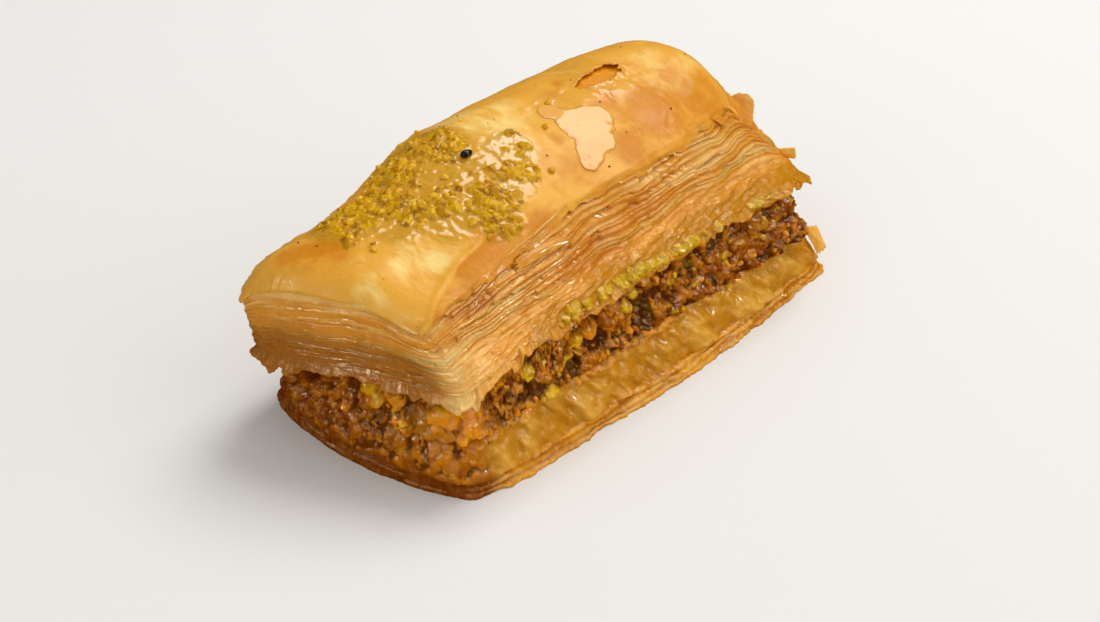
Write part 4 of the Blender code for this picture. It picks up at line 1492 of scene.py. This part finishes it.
def make_seed(skin):
    """A single black seed, half sunk in the syrup."""
    u, v = (np.array([share]) for share in BLACK_SEED)
    middle = np.array(skin_surface(u, v, skin, BLACK_SEED_LIFT))[:, 0]
    columns, rows = 28, 16
    turn, ring = np.meshgrid(np.linspace(0.0, 2.0 * np.pi, columns, endpoint=False),
                             np.linspace(0.06, np.pi - 0.06, rows)[::-1])
    long, wide, tall = BLACK_SEED_HALF
    x, y, z = long * np.sin(ring) * np.cos(turn), wide * np.sin(ring) * np.sin(turn), tall * np.cos(ring)
    dent = 1.0 + 0.10 * rough(2.0 * x, 2.0 * y, 2.0 * z, 1.0)
    points = np.stack([x * dent, y * dent, z * dent], axis=-1).reshape(-1, 3)
    points = np.concatenate([points, [(0, 0, -tall), (0, 0, tall)]]) + middle
    return new_piece("black_seed", placed(*points.T), capped_faces(columns, rows))


# ---------- Materials of this piece ----------
CRUMB_HUSK = ink(134, 82, 4)
GREEN_CRUMB, YELLOW_CRUMB, SOAKED_CRUMB = ink(208, 150, 10), ink(246, 192, 36), ink(170, 116, 4)
HEM_CRUMB_DARK, HEM_CRUMB_LIGHT = ink(168, 118, 0), ink(232, 182, 0)
BLISTER, CRACK, AMBER_FOLD = ink(120, 66, 20), ink(150, 78, 20), ink(190, 124, 10)
# the crust's darker recesses are partly painted shade, its lighter crests partly painted light
DARK_FLAKE, LIGHT_FLAKE = ink(196, 116, 12), ink(228, 174, 84)
# darkens the front end of the base: syrup, with painted shade
DEEP_SYRUP = ink(124, 54, 0)
# the lighter puddle colour holds a painted reflection over the syrup's tone
PUDDLE_RIM_COLOUR, PUDDLE_SYRUP_AND_REFLECTION, PUDDLE_STAIN = ink(222, 142, 48), ink(240, 170, 80), ink(206, 124, 44)
SPECK_COLOURS = (ink(70, 30, 12), ink(110, 52, 20))
SEED_BLACK = ink(16, 10, 12)
SEED_COLOURS = (ink(14, 10, 10), ink(34, 26, 24))


def skin_material(sizes):
    """Baked leaf: gold, pale and browned in soft patches, with fine blisters and syrup where it is wet."""
    recipe = Recipe("baked leaf", coat_roughness=0.05, glow=0.22, glow_reach=1.0, shine=0.28)
    brown, pale, wet, torn, tint, crumb = recipe.shares("brown", "pale", "wet", "torn", "tint", "crumb")
    mottle, fine = recipe.cloud(3.4, 5.0, 0.62, warp=0.4), recipe.cloud(0.8, 4.0, 0.6)
    veins = recipe.cloud(5.0, 4.0, 0.6, warp=1.5, where=recipe.stretched((1.0, 0.45, 1.0), 0.5))
    streaks = recipe.cloud(1.6, 4.0, 0.6, warp=0.8, where=recipe.stretched((1.0, 0.35, 1.0), -0.7))
    # veins and streaks lay paler diagonal streaks: paler leaf, and partly painted highlight
    light = pale + (recipe.cloud(6.0, 3.0) - 0.5) + veins.swing(1.8) + streaks.swing(1.3)
    toasted = (brown * 1.2 + mottle.swing(1.6) + fine.swing(0.4)).between(0.15, 1.10)
    soaked = (wet + mottle.swing(0.8)).between(0.45, 1.2)
    husks = recipe.cloud(1.3, 3.0).between(0.50, 0.66)
    crumbs = recipe.layered(sizes.green, (sizes.yellow, (tint + fine.swing(1.2)).limited()),
                            (CRUMB_HUSK, husks * 0.9))
    blisters = recipe.cells(1.7).between(0.075, 0.045) * recipe.cloud(2.3, 1.0).between(0.52, 0.56)
    colour = recipe.layered(sizes.gold, (sizes.pale, light.between(0.1, 1.1)), (sizes.brown, toasted),
                            (sizes.soaked, soaked * 0.6), (crumbs, crumb * 0.9), (BLISTER, blisters * 0.7),
                            # torn: the tear's colour, lightened as painted light
                            (sizes.torn, torn))
    roughness = (0.42 + mottle.swing(0.4) - wet * 0.12 - crumb * 0.12).limited()
    glaze = recipe.cloud(5.0, 3.0).between(0.45, 0.75) * 0.18 + 0.03
    coat = (wet * 0.9 + glaze - crumb).limited()
    folds = recipe.cloud(1.1, 4.0, 0.65, warp=0.6, where=recipe.stretched((1.0, 0.3, 1.0), 0.6))
    normal = recipe.bump(recipe.cloud(0.55, 4.0, 0.6) * 0.6 + folds, 0.09)
    return recipe.wears(Base_Color=colour, Roughness=roughness, Coat_Weight=coat, Normal=normal)


def leaf_material(sizes):
    """The cut leaves: straw, paler and soaked in soft streaks, browned in places, with small wet glints."""
    recipe = Recipe("stacked leaves", coat_roughness=0.06, glow=0.45, glow_reach=0.8, shine=0.6)
    tint, gap, crack, crumb = recipe.shares("tint", "gap", "crack", "crumb")
    pale, soaked, foot, brown, shade = recipe.shares("pale", "soaked", "foot", "brown", "shade")
    streak = recipe.cloud(2.4, 5.0, 0.65, where=recipe.stretched((0.25, 0.25, 2.6)))
    patch, fine = recipe.cloud(4.0, 4.0, 0.6), recipe.cloud(0.8, 4.0, 0.65)
    pale = pale * 0.8 + tint * 0.55 + streak.swing(1.5) + fine.swing(0.4)
    soaked = soaked + (patch - 0.5) + streak.swing(-1.4) - tint * 0.3
    foot = foot + patch.swing(0.8) + streak.swing(0.6)
    brown = brown + patch.swing(0.9) + streak.swing(-0.9)
    # shade: painted shade low on the front end
    shade = shade + patch.swing(0.4) + streak.swing(0.5)
    crumbs = recipe.blend(HEM_CRUMB_DARK, HEM_CRUMB_LIGHT, (fine * 1.6 - 0.3).limited())
    colour = recipe.layered(sizes.straw, (sizes.pale, pale.between(0.35, 1.25)),
                            (sizes.amber, soaked.between(-0.05, 0.85) * 0.75),
                            (sizes.hem, foot.between(0.2, 0.9) * 0.85),
                            (sizes.brown, brown.between(0.30, 1.0) * 0.8),
                            # painted shade: shade darkens the front end low down, gap the recesses between
                            # leaves
                            (sizes.shade, shade.limited() * 0.8), (sizes.brown, gap * 0.6),
                            (CRACK, crack * 0.7), (crumbs, crumb * 0.95))
    roughness = recipe.cloud(1.4, 4.0, 0.65).between(0.35, 0.65) * 0.30 + 0.10
    coat = recipe.cloud(1.6, 4.0, 0.6).between(0.42, 0.66) * 0.2
    lines = recipe.cloud(0.5, 3.0, 0.6, where=recipe.stretched((0.3, 0.3, 1.8)))
    normal = recipe.bump(recipe.cloud(0.32, 3.0, 0.6) * 0.6 + lines, 0.09)
    return recipe.wears(Base_Color=colour, Roughness=roughness, Coat_Weight=coat, Normal=normal)


def filling_colour(recipe, sizes, tint, deep, end):
    """Syrupy nuts: every bit its own brown, with yellow kernels, reddish skins and dark hollows."""
    kernel, husk, seed = recipe.shares("kernel", "husk", "seed")
    grain = recipe.cloud(0.7, 3.0, 0.6)
    shade = tint * 1.3 + grain.swing(0.8) + recipe.cloud(5.0, 2.0).swing(0.9) - 0.12
    return recipe.layered(sizes.dark, (sizes.nut, shade.limited()), (sizes.kernel, kernel),
                          (sizes.husk, husk * (0.6 + grain * 0.5)), (SEED_BLACK, seed),
                          # deep and end: syrup in the hollows and on the front end, with painted shade
                          (sizes.syrup, deep * 0.85), (sizes.dark, end * 0.35))


def filling_material(sizes):
    """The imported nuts, wet with syrup except in their hollows and on the front end."""
    recipe = Recipe("nuts in syrup", coat_roughness=0.05, glow=0.2, glow_reach=0.6, shine=0.6)
    tint, deep, end = recipe.shares("tint", "deep", "end")
    colour = filling_colour(recipe, sizes, tint, deep, end)
    roughness = recipe.cloud(1.0, 3.0).between(0.3, 0.7) * 0.14 + 0.08
    coat = (1.0 - deep - end * 0.6).limited() * 0.3
    normal = recipe.bump(recipe.cloud(0.45, 4.0, 0.6), 0.12)
    return recipe.wears(Base_Color=colour, Roughness=roughness, Coat_Weight=coat, Normal=normal)


def loose_material(sizes):
    """Loose bits of nut: brown to yellow, some reddish."""
    recipe = Recipe("loose nut", coat=0.3, coat_roughness=0.05, glow=0.3, glow_reach=0.6, shine=0.5)
    (tint,), grain = recipe.shares("tint"), recipe.cloud(0.8, 3.0, 0.6)
    shade = (tint * 1.3 + grain.swing(0.8)).limited()
    colour = recipe.layered(sizes.dark, (sizes.nut, shade), (sizes.kernel, tint.between(0.78, 0.82)),
                            (sizes.husk, tint.between(0.92, 0.94)))
    roughness = grain.between(0.3, 0.7) * 0.25 + 0.10
    normal = recipe.bump(recipe.cloud(0.4, 3.0, 0.6), 0.08)
    return recipe.wears(Base_Color=colour, Roughness=roughness, Normal=normal)


def crumb_material():
    """Chopped pistachio: every bit between two colours, darker where syrup has soaked in."""
    recipe = Recipe("pistachio crumb", roughness=0.22, coat=0.1, coat_roughness=0.05, glow=0.3,
                    glow_reach=0.6, shine=0.4)
    (tint,) = recipe.shares("tint")
    stain = (recipe.cloud(1.1, 3.0) + tint.swing(0.2)).between(0.52, 0.72)
    colour = recipe.layered(GREEN_CRUMB, (YELLOW_CRUMB, tint), (SOAKED_CRUMB, stain * 0.5))
    return recipe.wears(Base_Color=colour, Normal=recipe.bump(recipe.cloud(0.4, 3.0, 0.6), 0.10))


def base_material(sizes, filling):
    """Soaked pastry: soft pale folds with painted light on their crests, an orange crust below, and syrup
    with painted shade and nuts at the front end.
    """
    recipe = Recipe("soaked pastry", coat_roughness=0.06, glow=0.30, glow_reach=1.2, shine=0.5)
    crust, fold, bits = recipe.shares("crust", "fold", "bits")
    tint, deep, end = recipe.shares("tint", "deep", "end")
    patch, fine = recipe.cloud(5.0, 4.0, 0.6), recipe.cloud(1.3, 4.0, 0.6)
    # Painted light on the folds' crests, from fold; on the crust, darker recesses are partly painted shade
    # and lighter edges partly painted light.
    light = (fold + patch.swing(1.1) + fine.swing(0.4)).between(0.25, 0.95)
    amber = (tint + patch.swing(1.2)).between(0.55, 1.0)
    flaky = (fold * 0.7 + tint * 0.5 + fine.swing(0.8)).between(0.3, 1.1)
    crests = (fine * 1.2 + fold * 0.4).between(0.85, 1.15)
    crisp = recipe.layered(DARK_FLAKE, (sizes.crust, flaky), (LIGHT_FLAKE, crests * 0.7))
    syrupy = recipe.blend(DEEP_SYRUP, sizes.dark, fine.between(0.35, 0.65))
    nuts = filling_colour(recipe, filling, tint, deep, end)
    colour = recipe.layered(sizes.soaked, (sizes.light, light), (AMBER_FOLD, amber * 0.7), (crisp, crust),
                            # syrupy on the front end: syrup gathered there, with painted shade
                            (syrupy, (end * 1.5 + patch.swing(0.6)).limited()),
                            (nuts, bits.between(0.3, 1.3)))
    roughness = fine.between(0.3, 0.7) * 0.3 + 0.12
    coat = (0.15 + patch.swing(0.8) - end * 0.1).limited()
    normal = recipe.bump(recipe.cloud(0.6, 4.0, 0.6), 0.14)
    return recipe.wears(Base_Color=colour, Roughness=roughness, Coat_Weight=coat, Normal=normal)


def puddle_material():
    """Clear syrup, lighter where it is deep as a painted reflection, with faint stains."""
    recipe = Recipe("syrup", roughness=0.3, coat=0.6, coat_roughness=0.02, glow=0.3, glow_reach=1.0)
    (depth,) = recipe.shares("depth")
    stain = recipe.cloud(1.4, 2.0).between(0.64, 0.68)
    # lighter where deep: painted reflection over the syrup's colour
    colour = recipe.layered(PUDDLE_RIM_COLOUR, (PUDDLE_SYRUP_AND_REFLECTION, depth), (PUDDLE_STAIN, stain * 0.5))
    return recipe.wears(Base_Color=colour)


def plain_dark_material(name, first, second):
    """Dark hard bits with a faint mottle."""
    recipe = Recipe(name, roughness=0.25, coat=0.6, coat_roughness=0.08)
    return recipe.wears(Base_Color=recipe.blend(first, second, recipe.cloud(0.5, 3.0).between(0.45, 0.6)))


# ---------- Lights and camera ----------
LIGHTS = (  # name, the size that gives its power, the way to it, its distance and width in metres
    ("key light", "key", (0.52, 0.05, 0.83), 0.7, 0.42),
    ("glint light 1", "glint", (-0.50, -0.42, 0.76), 0.6, 0.06),
    ("glint light 2", "glint", (0.45, -0.75, 0.48), 0.6, 0.06),
    ("glint light 3", "glint", (-0.72, 0.50, 0.45), 0.6, 0.06),
    ("fill light", "fill", (0.35, -0.80, 0.48), 0.9, 0.9),
    ("front light", "front", (-0.85, -0.10, 0.50), 0.9, 0.9),
)
LIGHT_AIM = Vector((0.0, 0.0, 0.018))
CAMERA_PLACE = (-0.17904, -0.17363, 0.15302)
CAMERA_TURN = (59.204, 2.087, -47.060)
CAMERA_LENS, CAMERA_SENSOR = 72.0, 36.0
FLOOR_HALF = 3.0
FLOOR_SHADE = 0.97  # of the darker patches of the floor
FLOOR_PATCH = 400.0  # their width in millimetres


def soft_light(name, power, way, distance, width):
    """A square soft box that looks at the piece from one side."""
    light = bpy.data.lights.new(name, "AREA")
    light.energy = power
    light.size = width
    lamp = new_object(name, light)
    lamp.location = LIGHT_AIM + Vector(way).normalized() * distance
    lamp.rotation_euler = (lamp.location - LIGHT_AIM).to_track_quat("Z", "Y").to_euler()
    return lamp


def camera():
    """The camera, which sees the piece from its near corner and from above."""
    lens = bpy.data.cameras.new("camera")
    lens.lens = CAMERA_LENS
    lens.sensor_width = CAMERA_SENSOR
    made = new_object("camera", lens)
    made.location = CAMERA_PLACE
    made.rotation_euler = Euler([math.radians(turn) for turn in CAMERA_TURN])
    return made


# ---------- Operators ----------
class BakeSkin(Operator):
    """Lay the crisp top leaf, the leaf below it and the syrup on it"""

    bl_idname = "baklava.skin"
    bl_label = "Skin"

    def execute(self, context):
        sizes = context.scene.baklava.skin
        material = skin_material(sizes)
        finished(make_skin(sizes), material, "top_pastry", slot="top_pastry")
        finished(make_under_skin(sizes), material, slot="top_pastry")
        for piece in (make_crumb_bed(sizes), make_scraps(), make_curl()):
            finished(piece, material, slot="top_pastry")
        return {"FINISHED"}


class StackLeaves(Operator):
    """Stack the thin leaves under the skin, with the outer leaf"""

    bl_idname = "baklava.leaves"
    bl_label = "Leaves"

    def execute(self, context):
        sizes = context.scene.baklava.leaves
        material = leaf_material(sizes)
        for piece in (*make_leaves(sizes), make_skirt(sizes)):
            finished(piece, material, slot="top_pastry")
        return {"FINISHED"}


class FillNuts(Operator):
    """Fill the piece with chopped nuts in syrup"""

    bl_idname = "baklava.filling"
    bl_label = "Filling"

    def execute(self, context):
        sizes = context.scene.baklava.filling
        finished(make_filling(), filling_material(sizes), "nut_filling", slot="nut_filling")
        loose = loose_material(sizes)
        bits = strewn("loose_nuts", nut_carrier("nuts_on"), loose, Spacing=0.7 * MM, Per_area=0.7e6,
                      Smallest=0.4 * MM, Largest=1.2 * MM, Flatness=0.8, Sink=0.1, Lumps=0.5 * MM,
                      Lump_width=0.9 * MM, Seed=5)
        finished(bits, loose, slot="nut_filling")
        return {"FINISHED"}


class SoakBase(Operator):
    """Lay the soaked base"""

    bl_idname = "baklava.base"
    bl_label = "Base"

    def execute(self, context):
        sizes = context.scene.baklava
        material = base_material(sizes.base, sizes.filling)
        finished(make_base(sizes.base), material, "bottom_pastry", slot="bottom_pastry")
        return {"FINISHED"}


class DressTop(Operator):
    """Strew the pistachio crumbs and specks, and pour the puddle"""

    bl_idname = "baklava.topping"
    bl_label = "Topping"

    def execute(self, context):
        sizes, skin = context.scene.baklava.topping, context.scene.baklava.skin
        green = crumb_material()
        bed = skin_carrier("crumbs_on", skin, CRUMB_GRID, 0.1, crumb_amount)
        crumbs = strewn("crumbs", bed, green, Spacing=0.7 * MM, Per_area=0.8e6, Smallest=0.5 * MM,
                        Largest=sizes.crumb, Flatness=0.65, Sink=0.05, Lumps=0.7 * MM,
                        Lump_width=0.9 * MM, Seed=3)
        finished(crumbs, green, slot="top_pastry")
        dark = plain_dark_material("speck", *SPECK_COLOURS)
        whole = skin_carrier("specks_on", skin, SPECK_GRID, 0.0, speck_amount)
        specks = strewn("specks", whole, dark, Spacing=1.2 * MM, Per_area=7e4, Smallest=0.16 * MM,
                        Largest=0.34 * MM, Flatness=0.7, Sink=-0.2, Lumps=0.1 * MM,
                        Lump_width=0.3 * MM, Detail=1, Seed=21)
        finished(specks, dark, slot="top_pastry")
        black = plain_dark_material("black seed", *SEED_COLOURS)
        finished(make_seed(skin), black, slot="top_pastry")
        finished(make_puddle(sizes, skin), puddle_material(), slot="top_pastry")
        return {"FINISHED"}


class SetStage(Operator):
    """Set the floor, the lights and the camera"""

    bl_idname = "baklava.stage"
    bl_label = "Stage"

    def execute(self, context):
        sizes, scene = context.scene.baklava.stage, context.scene
        corners = FLOOR_HALF * np.array([(-1, -1, 0), (1, -1, 0), (1, 1, 0), (-1, 1, 0)])
        floor = new_piece("floor", corners, [(0, 1, 2, 3)])
        recipe = Recipe("floor", roughness=0.6)
        darker = tuple(FLOOR_SHADE * part for part in sizes.floor)
        shade = recipe.blend(sizes.floor, darker, recipe.cloud(FLOOR_PATCH, 1.0))
        floor.data.materials.append(recipe.wears(Base_Color=shade))
        floor.visible_glossy = False
        for name, power, way, distance, width in LIGHTS:
            lamp = soft_light(name, getattr(sizes, power), way, distance, width)
            lamp.visible_diffuse = power != "glint"
            lamp.visible_glossy = power in ("key", "glint")
        world = bpy.data.worlds.new("room")
        world.use_nodes = True
        room = world.node_tree.nodes["Background"]
        room.inputs["Color"].default_value = (1.0, 1.0, 1.0, 1.0)
        room.inputs["Strength"].default_value = sizes.room
        scene.world = world
        world.cycles_visibility.glossy = False
        scene.view_settings.view_transform = "Standard"
        scene.camera = camera()
        return {"FINISHED"}


class BaklavaPanel(Panel):
    """Lists the steps"""

    bl_idname = "VIEW3D_PT_baklava"
    bl_label = "Baklava"
    bl_space_type = "VIEW_3D"
    bl_region_type = "UI"
    bl_category = "Baklava"

    def draw(self, context):
        """One button for each step."""
        for step in STEPS:
            self.layout.operator(step.bl_idname)


STEPS = (BakeSkin, StackLeaves, FillNuts, SoakBase, DressTop, SetStage)
CLASSES = (SkinSizes, LeafSizes, FillingSizes, BaseSizes, ToppingSizes, StageSizes, BaklavaSizes,
           *STEPS, BaklavaPanel)


def register():
    """Makes the steps, their sizes and the panel known to Blender."""
    for kind in CLASSES:
        bpy.utils.register_class(kind)
    bpy.types.Scene.baklava = PointerProperty(type=BaklavaSizes)


def unregister():
    """Takes them away again."""
    del bpy.types.Scene.baklava
    for kind in reversed(CLASSES):
        bpy.utils.unregister_class(kind)


def main():
    """Runs every step."""
    register()
    for step in STEPS:
        group, name = step.bl_idname.split(".")
        getattr(getattr(bpy.ops, group), name)()


if __name__ == "__main__":
    main()
